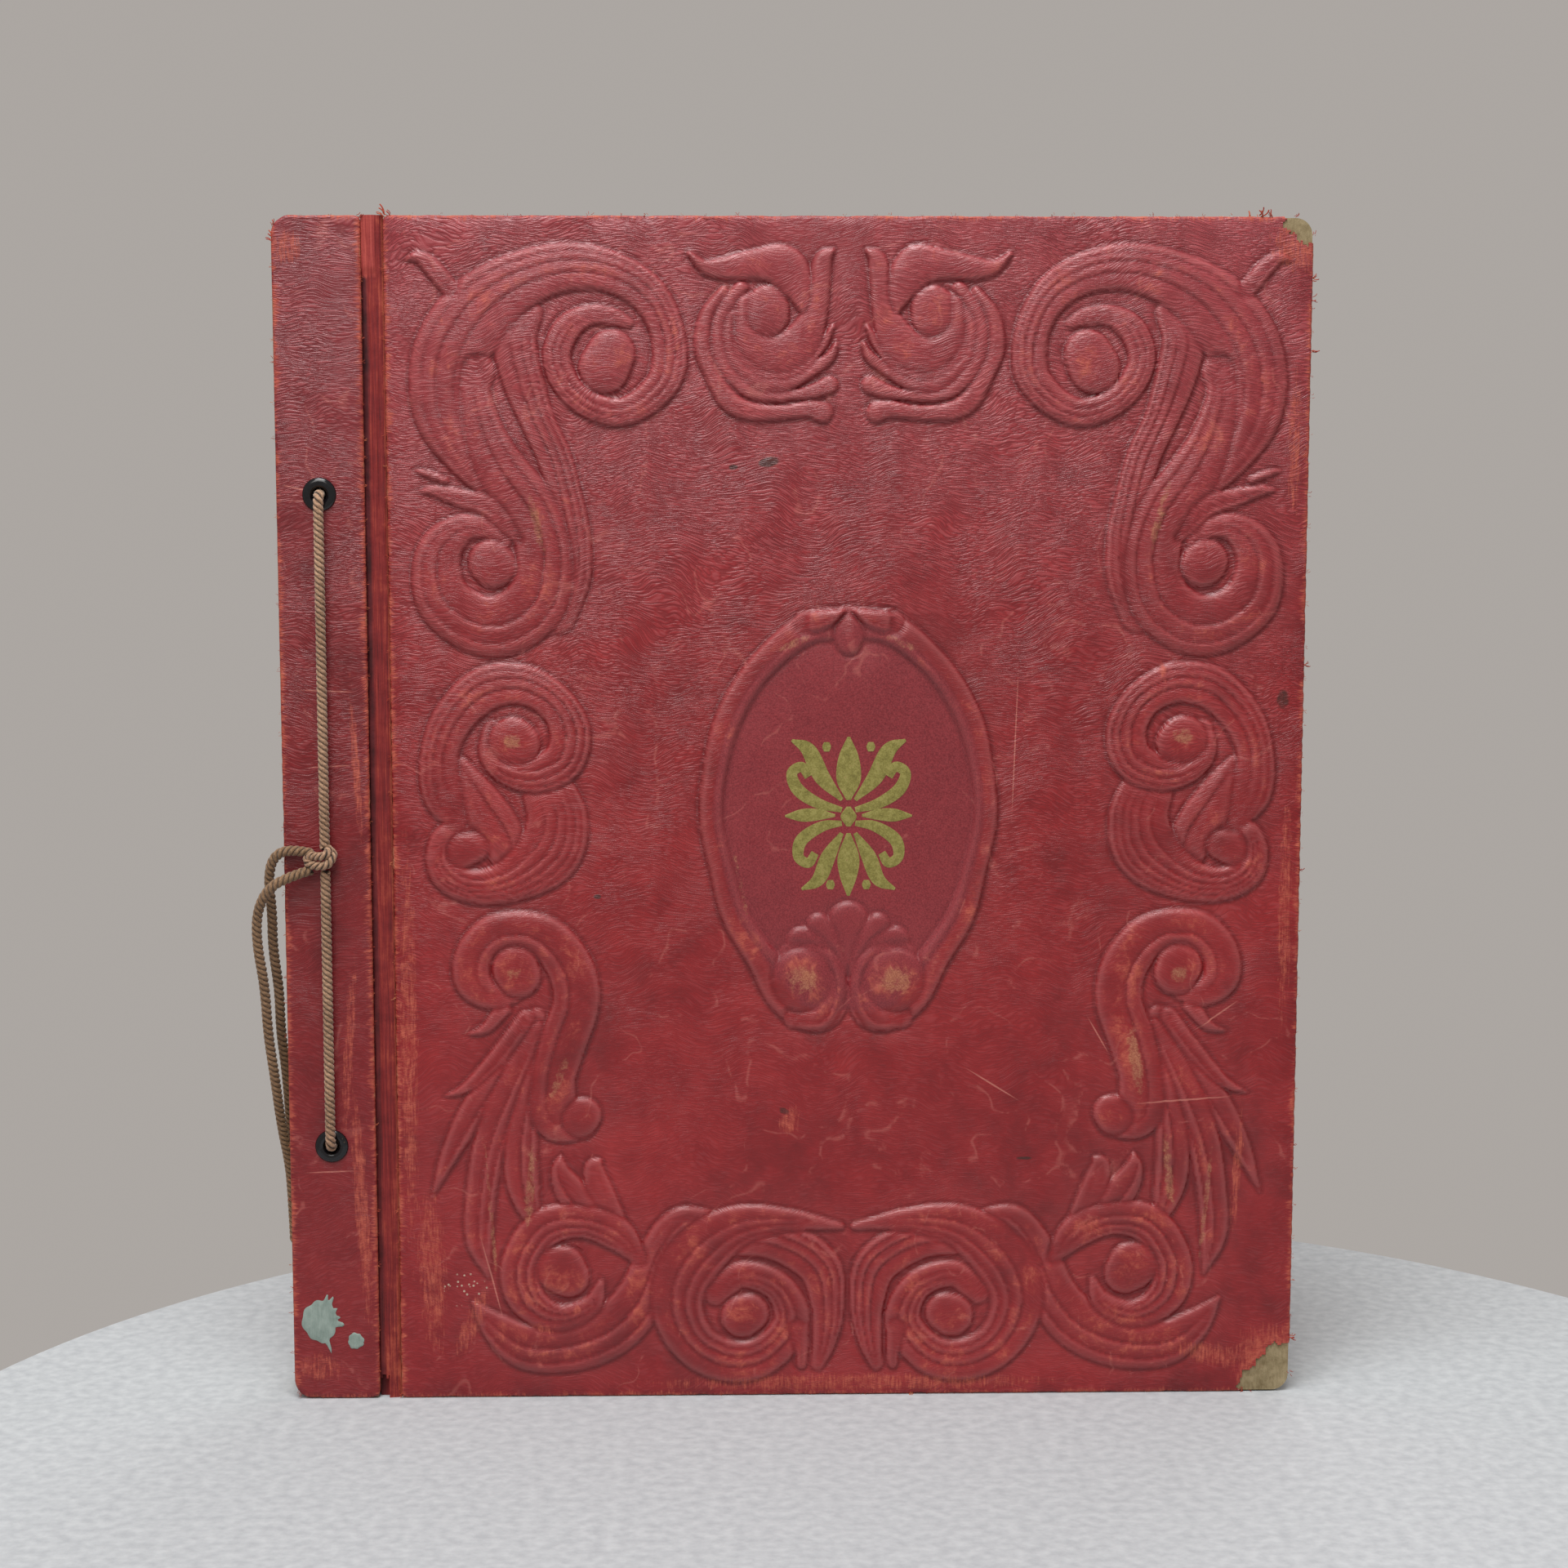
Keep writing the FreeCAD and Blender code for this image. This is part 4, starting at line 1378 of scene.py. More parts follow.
class Tree:
    """A Geometry Nodes tree with named inputs, used once and then turned into a plain mesh."""

    def __init__(self, name: str) -> None:
        """Starts a tree that takes and gives geometry.

        Args:
            name: the tree's name.
        """
        self.group = bpy.data.node_groups.new(name, "GeometryNodeTree")
        self.group.interface.new_socket("Geometry", in_out="INPUT", socket_type="NodeSocketGeometry")
        self.group.interface.new_socket("Geometry", in_out="OUTPUT", socket_type="NodeSocketGeometry")
        self.start = self.group.nodes.new("NodeGroupInput")
        self.end = self.group.nodes.new("NodeGroupOutput")

    def size(self, name: str, kind: str = "NodeSocketFloat") -> bpy.types.NodeSocket:
        """Adds a named input and returns its socket."""
        self.group.interface.new_socket(name, in_out="INPUT", socket_type=kind)
        return self.start.outputs[name]

    def node(self, kind: str, settings: Optional[dict] = None,
             sockets: Optional[dict] = None) -> bpy.types.Node:
        """Adds any node.

        Args:
            kind: the node's type.
            settings: its properties, set first.
            sockets: values or links of its inputs.

        Returns:
            The node.
        """
        made = self.group.nodes.new(kind)
        for key, value in (settings or {}).items():
            setattr(made, key, value)
        for key, value in (sockets or {}).items():
            if isinstance(value, bpy.types.NodeSocket):
                self.group.links.new(value, made.inputs[key])
            else:
                made.inputs[key].default_value = value
        return made

    def math(self, operation: str, *values: Union[bpy.types.NodeSocket, float]) -> bpy.types.NodeSocket:
        """Adds one Math node and returns its result."""
        return self.node("ShaderNodeMath", {"operation": operation}, dict(enumerate(values))).outputs[0]

    def vector(self, operation: str, **sockets: Union[bpy.types.NodeSocket, float]) -> bpy.types.NodeSocket:
        """Adds one Vector Math node and returns its vector.

        Args:
            operation: what the node works out.
            sockets: its inputs by name.

        Returns:
            The vector.
        """
        named = {0: sockets.get("a"), 1: sockets.get("b"), "Scale": sockets.get("scale")}
        given = {key: value for key, value in named.items() if value is not None}
        return self.node("ShaderNodeVectorMath", {"operation": operation}, given).outputs[0]

    def stored(self, name: str, kind: str = "FLOAT") -> bpy.types.NodeSocket:
        """A value that the geometry keeps under a name."""
        return self.node("GeometryNodeInputNamedAttribute", {"data_type": kind}, {"Name": name}).outputs[0]

    def store(self, geometry: bpy.types.NodeSocket, name: str, value: bpy.types.NodeSocket,
              kind: str = "FLOAT") -> bpy.types.NodeSocket:
        """Keeps a value at each point of the geometry under a name.

        Args:
            geometry: what keeps it.
            name: the value's name.
            value: the value.
            kind: its type.

        Returns:
            The geometry.
        """
        settings = {"data_type": kind, "domain": "POINT"}
        sockets = {0: geometry, "Name": name, "Value": value}
        return self.node("GeometryNodeStoreNamedAttribute", settings, sockets).outputs[0]

    def ring(self, radius: bpy.types.NodeSocket, sides: int) -> bpy.types.NodeSocket:
        """A circle to sweep along a line."""
        sockets = {"Resolution": sides, "Radius": radius}
        return self.node("GeometryNodeCurvePrimitiveCircle", {"mode": "RADIUS"}, sockets).outputs[0]

    def sweep(self, line: bpy.types.NodeSocket, ring: bpy.types.NodeSocket) -> bpy.types.NodeSocket:
        """A closed tube along a line."""
        sockets = {0: line, 1: ring, "Fill Caps": True}
        return self.node("GeometryNodeCurveToMesh", None, sockets).outputs[0]

    def close(self, geometry: bpy.types.NodeSocket, material: bpy.types.Material) -> None:
        """Ends the tree: real geometry, shaded smooth, with its material.

        Args:
            geometry: what the tree has made.
            material: its finish.
        """
        real = self.node("GeometryNodeRealizeInstances", None, {0: geometry})
        soft = self.node("GeometryNodeSetShadeSmooth", None, {0: real.outputs[0]})
        done = self.node("GeometryNodeSetMaterial", None, {"Geometry": soft.outputs[0], "Material": material})
        self.group.links.new(done.outputs[0], self.end.inputs[0])

    def grow(self, piece: bpy.types.Object, sizes: dict[str, float]) -> bpy.types.Object:
        """Runs the tree on a piece and keeps the result as its mesh.

        Args:
            piece: the object that the tree reads.
            sizes: values of the named inputs.

        Returns:
            The same object, as a plain mesh.
        """
        modifier = piece.modifiers.new(self.group.name, "NODES")
        modifier.node_group = self.group
        for item in self.group.interface.items_tree:
            if item.item_type == "SOCKET" and item.in_out == "INPUT" and item.name in sizes:
                modifier[item.identifier] = sizes[item.name]
        return settle(piece)


ROPE_SIDES = 8  # corners round one strand


def rope_tree(material: bpy.types.Material) -> Tree:
    """The tree that lays strands round a centre line.

    Args:
        material: the cord's finish.

    Returns:
        The tree, with inputs for the strand, the lay and the number of strands.
    """
    tree = Tree("laid_rope")
    strand = tree.size("Strand Radius")
    offset = tree.size("Strand Offset")
    lay = tree.size("Lay")
    count = tree.size("Strands", "NodeSocketInt")
    spacing = tree.size("Spacing")
    line = tree.node("GeometryNodeMeshToCurve", None, {0: tree.start.outputs["Geometry"]})
    even = tree.node("GeometryNodeResampleCurve", {"mode": "LENGTH"}, {0: line.outputs[0], "Length": spacing})
    strands = tree.node("GeometryNodeDuplicateElements", {"domain": "SPLINE"}, {
        0: even.outputs[0], "Amount": count})
    length = tree.node("GeometryNodeSplineParameter").outputs["Length"]
    share = tree.math("DIVIDE", strands.outputs["Duplicate Index"], count)
    turn = tree.math("MULTIPLY", tree.math("ADD", tree.math("DIVIDE", length, lay), share), 2 * math.pi)
    normal = tree.node("GeometryNodeInputNormal").outputs[0]
    tangent = tree.node("GeometryNodeInputTangent").outputs[0]
    side = tree.vector("CROSS_PRODUCT", a=tangent, b=normal)
    first = tree.vector("SCALE", a=normal, scale=tree.math("MULTIPLY", tree.math("COSINE", turn), offset))
    second = tree.vector("SCALE", a=side, scale=tree.math("MULTIPLY", tree.math("SINE", turn), offset))
    away = tree.vector("ADD", a=first, b=second)
    spread = tree.store(tree.store(strands.outputs[0], "along", length), "out", away, "FLOAT_VECTOR")
    moved = tree.node("GeometryNodeSetPosition", None, {0: spread, "Offset": away})
    index = tree.node("GeometryNodeInputIndex").outputs[0]
    ring = tree.store(tree.ring(strand, ROPE_SIDES), "around", tree.math("DIVIDE", index, float(ROPE_SIDES)))
    tube = tree.sweep(moved.outputs[0], ring)
    # how far each face turns in towards the cord's middle, kept as inward for the painted shade between
    # strands
    outwards = tree.stored("out", "FLOAT_VECTOR")
    facing = tree.node("ShaderNodeVectorMath", {"operation": "DOT_PRODUCT"}, {
        0: tree.node("GeometryNodeInputNormal").outputs[0],
        1: tree.vector("NORMALIZE", a=outwards)}).outputs["Value"]
    deep = tree.math("MINIMUM", tree.math("MAXIMUM", tree.math("SUBTRACT", 0.68, facing), 0.0), 1.0)
    tree.close(tree.store(tube, "inward", deep), material)
    return tree


@dataclass
class Cord:
    """One length of three-strand cord along a route of given points, in millimetres."""

    name: str
    nodes: tuple[str, ...]
    route: tuple[Point, ...]
    length: float
    far_end: str
    lay_word: str
    diameter: float = 3.2
    strand_share: float = 0.464
    lay: float = 5.2
    spacing: float = 0.42

    def centre(self) -> np.ndarray:
        """Points along the smooth line that the cord follows, in metres.

        Returns:
            One row for each point.
        """
        curve = bpy.data.curves.new(self.name + "_line", "CURVE")
        curve.dimensions = "3D"
        curve.resolution_u = 24
        spline = curve.splines.new("NURBS")
        spline.points.add(len(self.route) - 1)
        for point, place in zip(spline.points, self.route):
            point.co = (*(part * MM for part in place), 1.0)
        spline.order_u = 3
        spline.use_endpoint_u = True
        holder = bpy.data.objects.new(self.name + "_line", curve)
        bpy.context.scene.collection.objects.link(holder)
        graph = bpy.context.evaluated_depsgraph_get()
        mesh = bpy.data.meshes.new_from_object(holder.evaluated_get(graph))
        line = np.array([vertex.co[:] for vertex in mesh.vertices])
        bpy.data.objects.remove(holder)
        bpy.data.meshes.remove(mesh)
        return line

    def strands(self, line: np.ndarray, tree: Tree) -> bpy.types.Object:
        """Lays the strands along a line.

        Args:
            line: the centre line.
            tree: the rope tree.

        Returns:
            The piece.
        """
        piece = mesh_object(self.name, line, (), [(i, i + 1) for i in range(len(line) - 1)])
        radius = self.diameter * MM / 2
        strand = radius * self.strand_share
        return tree.grow(piece, {"Strand Radius": strand, "Strand Offset": radius - strand,
                                 "Lay": -self.lay * MM, "Strands": 3, "Spacing": self.spacing * MM})

    def build(self, tree: Tree) -> bpy.types.Object:
        """Builds the cord, riding on the binding.

        Args:
            tree: what lays the strands.

        Returns:
            The cord.
        """
        line = self.centre()
        piece = self.strands(line, tree)
        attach(piece, "binding")
        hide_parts(*self.nodes)
        return piece


# ---------------------------------------------------------------- lacing

LACE_X = -139.75
LACE_Y = 14.5
UPPER, LOWER = 275.0, 79.0


@dataclass
class Lacing:
    """The cord through the eyelets, its knot and its two tails."""

    light: Colour = tint(182, 146, 118)
    dark: Colour = tint(104, 74, 52)
    knot: tuple[Point, ...] = (
        (-138.4, -13.2, 169.4), (-137.2, -14.8, 168.9), (-137.4, -16.5, 167.6), (-138.6, -16.9, 165.6),
        (-141.2, -16.8, 165.2), (-144.2, -15.6, 165.5), (-145.4, -14.6, 166.9), (-144.0, -15.0, 168.2),
        (-141.4, -16.2, 168.0), (-139.6, -17.3, 168.3), (-138.0, -16.2, 169.7), (-138.9, -14.2, 170.4))

    def routes(self) -> tuple[Cord, Cord, Cord]:
        """The three lengths of cord.

        Returns:
            The main cord, the inner tail and the outer tail.
        """
        loop = (
            (LACE_X, -LACE_Y, 170.3), (LACE_X, -LACE_Y, 190.0), (LACE_X, -LACE_Y, 222.0),
            (LACE_X, -LACE_Y, 256.0), (LACE_X, -LACE_Y, 269.5), (LACE_X, -LACE_Y, UPPER),
            (LACE_X, -9.5, UPPER), (LACE_X, 9.5, UPPER), (LACE_X, LACE_Y, UPPER), (LACE_X, LACE_Y, 269.5),
            (LACE_X, LACE_Y, 256.0), (LACE_X, LACE_Y, 205.0), (LACE_X, LACE_Y, 150.0), (LACE_X, LACE_Y, 98.0),
            (LACE_X, LACE_Y, 84.5), (LACE_X, LACE_Y, LOWER), (LACE_X, 9.5, LOWER), (LACE_X, -9.5, LOWER),
            (LACE_X, -LACE_Y, LOWER), (LACE_X, -LACE_Y, 84.5), (LACE_X, -LACE_Y, 98.0),
            (LACE_X, -LACE_Y, 132.0), (LACE_X, -LACE_Y, 163.3))
        inner = (
            (-143.6, -14.0, 168.7), (-149.8, -14.0, 170.2), (-155.4, -13.1, 167.8), (-157.3, -10.8, 160.6),
            (-156.6, -8.8, 150.5), (-157.0, -6.8, 139.0), (-155.6, -4.6, 126.0), (-155.9, -1.6, 112.5),
            (-155.0, 2.4, 99.0), (-154.9, 6.6, 86.0), (-154.7, 9.4, 73.0))
        outer = (
            (-143.9, -14.8, 163.9), (-150.3, -16.0, 162.0), (-156.6, -15.8, 158.6), (-160.4, -13.9, 151.4),
            (-161.0, -11.8, 141.5), (-159.2, -9.4, 127.5), (-158.9, -7.2, 112.5), (-157.4, -4.4, 97.5),
            (-156.6, 0.2, 83.0), (-155.0, 5.4, 69.0), (-154.8, 8.6, 56.0), (-154.6, 9.6, 43.5))
        return (Cord("lacing_cord", ("binding_cord",), loop, 437.5, "knot", "taut"),
                Cord("lacing_tail_inner", ("inner_tail",), inner, 109.7, "bare", "hanging"),
                Cord("lacing_tail_outer", ("outer_tail",), outer, 133.0, "bare", "hanging"))

    def build(self) -> list[bpy.types.Object]:
        """Builds the cord, its tails and the knot.

        Returns:
            Every piece of the lacing.
        """
        tree = rope_tree(CordFibre("cord_cotton", self.light, self.dark).make())
        tail_tree = rope_tree(CordFibre("cord_cotton_tail", tint(150, 118, 88), tint(84, 60, 40)).make())
        cords = self.routes()
        made = [cord.build(tree if cord is cords[0] else tail_tree) for cord in cords]
        wrap = Cord("lacing_knot", (), self.knot, 0.0, "knot", "taut", diameter=2.8)
        knot = wrap.strands(wrap.centre(), tree)
        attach(knot, "binding")
        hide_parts("cord_knot")
        return made + [knot]


@dataclass
class Eyelets:
    """Four enamelled eyelets: a domed flange, a rolled lip and the barrel in the strip board."""

    flange: float = 5.0
    bore: float = 2.1
    dome: float = 1.0
    sides: int = 72

    def _profile(self) -> list[tuple[float, float]]:
        """Radius and height over the strip's face of each line round the eyelet.

        Returns:
            A radius and a height for each line.
        """
        wide = self.flange - self.bore
        crest = self.bore + wide * 0.46
        points = [(self.bore, -2.6), (self.bore, -0.4)]
        for angle in np.radians(np.arange(180, -1, -15)):
            reach = (crest - self.bore) if angle > math.pi / 2 else (self.flange - crest)
            points.append((crest + reach * math.cos(angle), self.dome * math.sin(angle) ** 0.85))
        barrel = self.bore + 0.5
        points += [(self.flange, -0.35), (self.flange - 0.6, -0.45), (barrel, -0.5), (barrel, -2.6)]
        return points

    def _one(self, name: str, node: str) -> bpy.types.Object:
        """Turns one eyelet.

        Args:
            name: the piece's name.
            node: the CAD node it stands for.

        Returns:
            The piece.
        """
        low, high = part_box(node)
        front = node.startswith("front")
        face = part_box("front_strip_covering")[0].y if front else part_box("rear_strip_covering")[1].y
        out = -1.0 if front else 1.0
        middle_x, middle_z = (low.x + high.x) / 2, (low.z + high.z) / 2
        points, faces = [], []
        profile = self._profile()
        for step in range(self.sides):
            turn = 2 * math.pi * step / self.sides
            for radius, height in profile:
                points.append((middle_x + radius * MM * math.cos(turn), face + out * height * MM,
                               middle_z + radius * MM * math.sin(turn)))
        around = len(profile)
        for step in range(self.sides):
            here, following = step * around, (step + 1) % self.sides * around
            for line in range(around):
                after = (line + 1) % around
                corner = (here + line, following + line, following + after, here + after)
                faces.append(corner[::-1] if front else corner)
        piece = mesh_object(name, np.array(points), faces)
        smooth(piece, 40.0)
        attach(piece, "binding")
        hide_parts(node)
        return dress(piece, ENAMEL)

    def build(self) -> list[bpy.types.Object]:
        """Turns all four."""
        return [self._one(f"{side}_{end}_eyelet_ring", f"{side}_{end}_eyelet")
                for side in ("front", "rear") for end in ("upper", "lower")]


# ---------------------------------------------------------------- leaves

@dataclass
class Leaves:
    """Sixteen album leaves, each creased beside its guard and free at the fore edge."""

    count: int = 16
    thickness: float = 0.44
    rows: int = 40
    wave: float = 0.34

    def _leaf(self, number: int, material: bpy.types.Material) -> bpy.types.Object:
        """Builds one leaf, flat at its crease and waved towards the fore edge.

        Args:
            number: from 1 at the front.
            material: the paper.

        Returns:
            The piece.
        """
        node = f"leaf_{number:02d}"
        low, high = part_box(node)
        crease = low.x / MM - 0.5
        middle = (low.y + high.y) / 2 / MM
        fore = high.x / MM
        across = np.concatenate([crease + np.array([-0.5, -0.25, 0.0, 0.25, 0.5]),
                                 np.linspace(crease + 3, fore - 1.5, 26), [fore]])
        u, v = np.meshgrid(across, np.linspace(low.z / MM, high.z / MM, self.rows), indexing="ij")
        share = np.clip((u - crease) / (fore - crease), 0, 1)
        cuts = ((0.09, 0.25, 1.9 * number), (0.021, 0.06, number), (0.0063, 0.04, 2.3 * number))
        trim = ripple(v * MM, cuts)
        short = (math.sin(2.7 * number) * 0.5 - 0.5) * share
        x = u + (trim * share + short) * (share > 0.9)
        end = (2 * v - low.z / MM - high.z / MM) / (high.z - low.z) * MM
        z = v + np.sign(end) * (np.abs(end) > 0.999) * (ripple(u * MM, ((0.07, 0.22, 1.3 * number),)) - 0.2)
        common = ripple((u + 0.3 * v) * MM, ((0.16, self.wave, 0.0),)) + ripple(v * MM, ((0.12, 0.06, 1.0),))
        own = ripple((u - 0.5 * v) * MM, ((0.10, 0.03, 2.1 * number),))
        y = middle + (common + own) * share
        points = np.stack([x.ravel(), (y - self.thickness / 2).ravel(), z.ravel()], 1) * MM
        piece = mesh_object(f"album_leaf_{number:02d}", points, grid_faces(len(across), self.rows))
        thicken(piece, self.thickness * MM)
        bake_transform(piece)
        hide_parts(node)
        return dress(piece, material)

    def build(self, material: bpy.types.Material) -> list[bpy.types.Object]:
        """Builds every leaf and hides the CAD node of their folds.

        Args:
            material: the paper.

        Returns:
            Every leaf.
        """
        made = [self._leaf(number, material) for number in range(1, self.count + 1)]
        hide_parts("leaf_creases")
        return made


# ---------------------------------------------------------------- decoration and damage

@dataclass
class GoldFleuron:
    """Gold ornament blocked in the medallion, made of flat strokes."""

    middle: float
    face: float
    proud: float = 0.10
    strokes: tuple[Stroke, ...] = FLEURON

    def build(self) -> bpy.types.Object:
        """Builds the ornament as one piece of low ribbons.

        Returns:
            The ornament.
        """
        points: list[tuple[float, float, float]] = []
        faces: list[tuple[int, ...]] = []
        for stroke in self.strokes:
            line = stroke.samples(10)
            both = (1,) if np.allclose(line[:, 0], 0) else (1, -1)
            for side in both:
                self._ribbon(line * (side, 1, 1), points, faces)
        piece = mesh_object("gilt_fleuron", np.array(points) * MM, faces)
        smooth(piece, 30.0)
        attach(piece, "front_cover")
        return dress(piece, Gilding().make())

    def _ribbon(self, line: np.ndarray, points: list, faces: list) -> None:
        """Adds one closed ribbon of the stroke's width.

        Args:
            line: its middle and half widths.
            points: the piece's corners so far.
            faces: the piece's faces so far.
        """
        ahead = np.gradient(line[:, :2], axis=0)
        ahead /= np.linalg.norm(ahead, axis=1)[:, None] + 1e-9
        out = np.stack([-ahead[:, 1], ahead[:, 0]], 1)
        start = len(points)
        section = ((-1.0, -0.25), (-1.0, 0.75), (-0.8, 1.0), (0.0, 1.15),
                   (0.8, 1.0), (1.0, 0.75), (1.0, -0.25))
        for (x, z, half), (nx, nz) in zip(line, out):
            for across, lift in section:
                points.append((self.middle + x + nx * half * across, self.face - lift * self.proud,
                               z + nz * half * across))
        size = len(section)
        for row in range(len(line) - 1):
            for column in range(size):
                after = (column + 1) % size
                a, b = start + row * size + column, start + row * size + after
                faces.append((a, b, b + size, a + size))
        faces.append(tuple(start + column for column in range(size))[::-1])
        faces.append(tuple(start + (len(line) - 1) * size + column for column in range(size)))


@dataclass
class PaintSplash:
    """A blob of dried paint on the strip with a spiky edge, and one drop beside it."""

    face: float

    def _blob(self, name: str, middle: tuple[float, float], size: tuple[float, float],
              spikes: float, seed: int) -> bpy.types.Object:
        """Builds one low dome of paint.

        Args:
            name: the piece's name.
            middle: its place in millimetres.
            size: half its width and half its height.
            spikes: how far its edge runs out.
            seed: of its spikes.

        Returns:
            The piece.
        """
        draw = np.random.default_rng(seed)
        count = 96
        turns = np.linspace(0, 2 * math.pi, count, endpoint=False)
        edge = np.ones(count) + 0.05 * np.sin(3 * turns + seed) + 0.04 * np.sin(8 * turns)
        for _ in range(9):
            aim = draw.uniform(-1.3, 1.5)
            far = draw.uniform(0.4, 1.0) * spikes
            away = np.abs((turns - aim + math.pi) % (2 * math.pi) - math.pi)
            edge += far * np.exp(-(away / 0.07) ** 2)
        levels = ((1.0, 0.0), (1.0, 0.10), (0.93, 0.20), (0.72, 0.24), (0.42, 0.22), (0.15, 0.23))
        points = []
        for share, lift in levels:
            reach = share * (edge if share > 0.7 else np.ones(count))
            points += [(middle[0] + size[0] * far * math.cos(turn), self.face - lift,
                        middle[1] + size[1] * far * math.sin(turn)) for far, turn in zip(reach, turns)]
        faces = [(row * count + i, row * count + (i + 1) % count, (row + 1) * count + (i + 1) % count,
                  (row + 1) * count + i) for row in range(len(levels) - 1) for i in range(count)]
        faces.append(tuple((len(levels) - 1) * count + i for i in range(count)))
        faces.append(tuple(range(count))[::-1])
        piece = mesh_object(name, np.array(points) * MM, faces)
        smooth(piece, 60.0)
        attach(piece, "binding")
        return piece

    def build(self) -> list[bpy.types.Object]:
        """Builds the splash and the drop.

        Returns:
            The splash and the drop.
        """
        paint = Paint().make()
        made = [self._blob("paint_splash", (-144.4, 24.5), (5.2, 6.6), 0.42, 5),
                self._blob("paint_drop", (-133.6, 18.2), (2.4, 2.5), 0.05, 8)]
        return [dress(piece, paint) for piece in made]


def fray_tree(material: bpy.types.Material) -> Tree:
    """The tree that grows loose threads from points on a worn edge.

    Args:
        material: the finish of the threads.

    Returns:
        The tree; each point's own "aim" and "reach" say which way its threads lean and how long they are.
    """
    tree = Tree("worn_edge")
    count = tree.size("Threads", "NodeSocketInt")
    spread = tree.size("Spread")
    thick = tree.size("Thread Radius")
    many = tree.node("GeometryNodeDuplicateElements", {"domain": "POINT"}, {
        0: tree.start.outputs["Geometry"], "Amount": count})
    jitter = tree.node("FunctionNodeRandomValue", {"data_type": "FLOAT_VECTOR"}, {
        0: (-1.0, -0.3, -1.0), 1: (1.0, 0.3, 1.0), "Seed": 3}).outputs[0]
    moved = tree.node("GeometryNodeSetPosition", None, {
        0: many.outputs[0], "Offset": tree.vector("SCALE", a=jitter, scale=spread)})
    aim = tree.stored("aim", "FLOAT_VECTOR")
    reach = tree.stored("reach")
    sway = tree.node("FunctionNodeRandomValue", {"data_type": "FLOAT_VECTOR"}, {
        0: (-0.7, -0.7, -0.7), 1: (0.7, 0.5, 0.7), "Seed": 7}).outputs[0]
    lean = tree.node("FunctionNodeAlignRotationToVector", {"axis": "Z"}, {
        "Vector": tree.vector("ADD", a=aim, b=sway)}).outputs[0]
    length = tree.node("FunctionNodeRandomValue", {"data_type": "FLOAT"}, {
        2: 0.45, 3: 1.0, "Seed": 11}).outputs[1]
    thread = tree.node("GeometryNodeCurveQuadraticBezier", None, {
        "Resolution": 5, "Start": (0, 0, 0), "Middle": (0.22, 0.0, 0.6), "End": (-0.1, 0.25, 1.0)})
    tube = tree.sweep(thread.outputs[0], tree.ring(thick, 5))
    placed = tree.node("GeometryNodeInstanceOnPoints", None, {
        "Points": moved.outputs[0], "Instance": tube, "Rotation": lean,
        "Scale": tree.math("MULTIPLY", length, reach)})
    tree.close(placed.outputs[0], material)
    return tree


@dataclass
class Fray:
    """Loose threads and flakes along the worn edges of one board."""

    name: str
    node: str
    body: str
    tufts: tuple[tuple[float, float, float], ...]
    spacing: float = 9.0
    seed: int = 4

    def build(self, tree: Tree) -> bpy.types.Object:
        """Grows the threads.

        Args:
            tree: the tree that grows them.

        Returns:
            The piece, riding on its body.
        """
        low, high = (np.array(corner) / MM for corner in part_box(self.node))
        draw = np.random.default_rng(self.seed)
        middle = np.array([(low[0] + high[0]) / 2, (low[2] + high[2]) / 2])
        face = low[1] if abs(low[1]) > abs(high[1]) else high[1]
        places = list(self.tufts)
        for x in np.arange(low[0] + 6, high[0] - 6, self.spacing):
            for end in (low[2] + 0.3, high[2] - 0.3):
                places.append((x + draw.uniform(-3, 3), end, draw.uniform(0.5, 1.1)))
        for z in np.arange(low[2] + 6, high[2] - 6, self.spacing):
            for end in (low[0] + 0.3, high[0] - 0.3):
                places.append((end, z + draw.uniform(-3, 3), draw.uniform(0.5, 1.1)))
        spots = np.array(places)
        sunk = np.full(len(spots), face + math.copysign(0.6, -face))
        points = np.stack([spots[:, 0], sunk, spots[:, 1]], 1)
        half = (high - low)[[0, 2]] / 2
        away = (spots[:, :2] - middle) / half
        away = np.where(np.abs(away) > 0.93, np.sign(away), 0.0)
        aim = np.stack([away[:, 0], np.full(len(spots), math.copysign(0.35, face)), away[:, 1]], 1)
        piece = mesh_object(self.name, points * MM, ())
        kept = piece.data.attributes.new("aim", "FLOAT_VECTOR", "POINT")
        kept.data.foreach_set("vector", aim.ravel().astype(np.float32))
        keep_value(piece, "reach", spots[:, 2] * MM)
        tree.grow(piece, {"Threads": 5, "Spread": 0.7 * MM, "Thread Radius": 0.075})
        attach(piece, self.body)
        return piece


# ---------------------------------------------------------------- studio

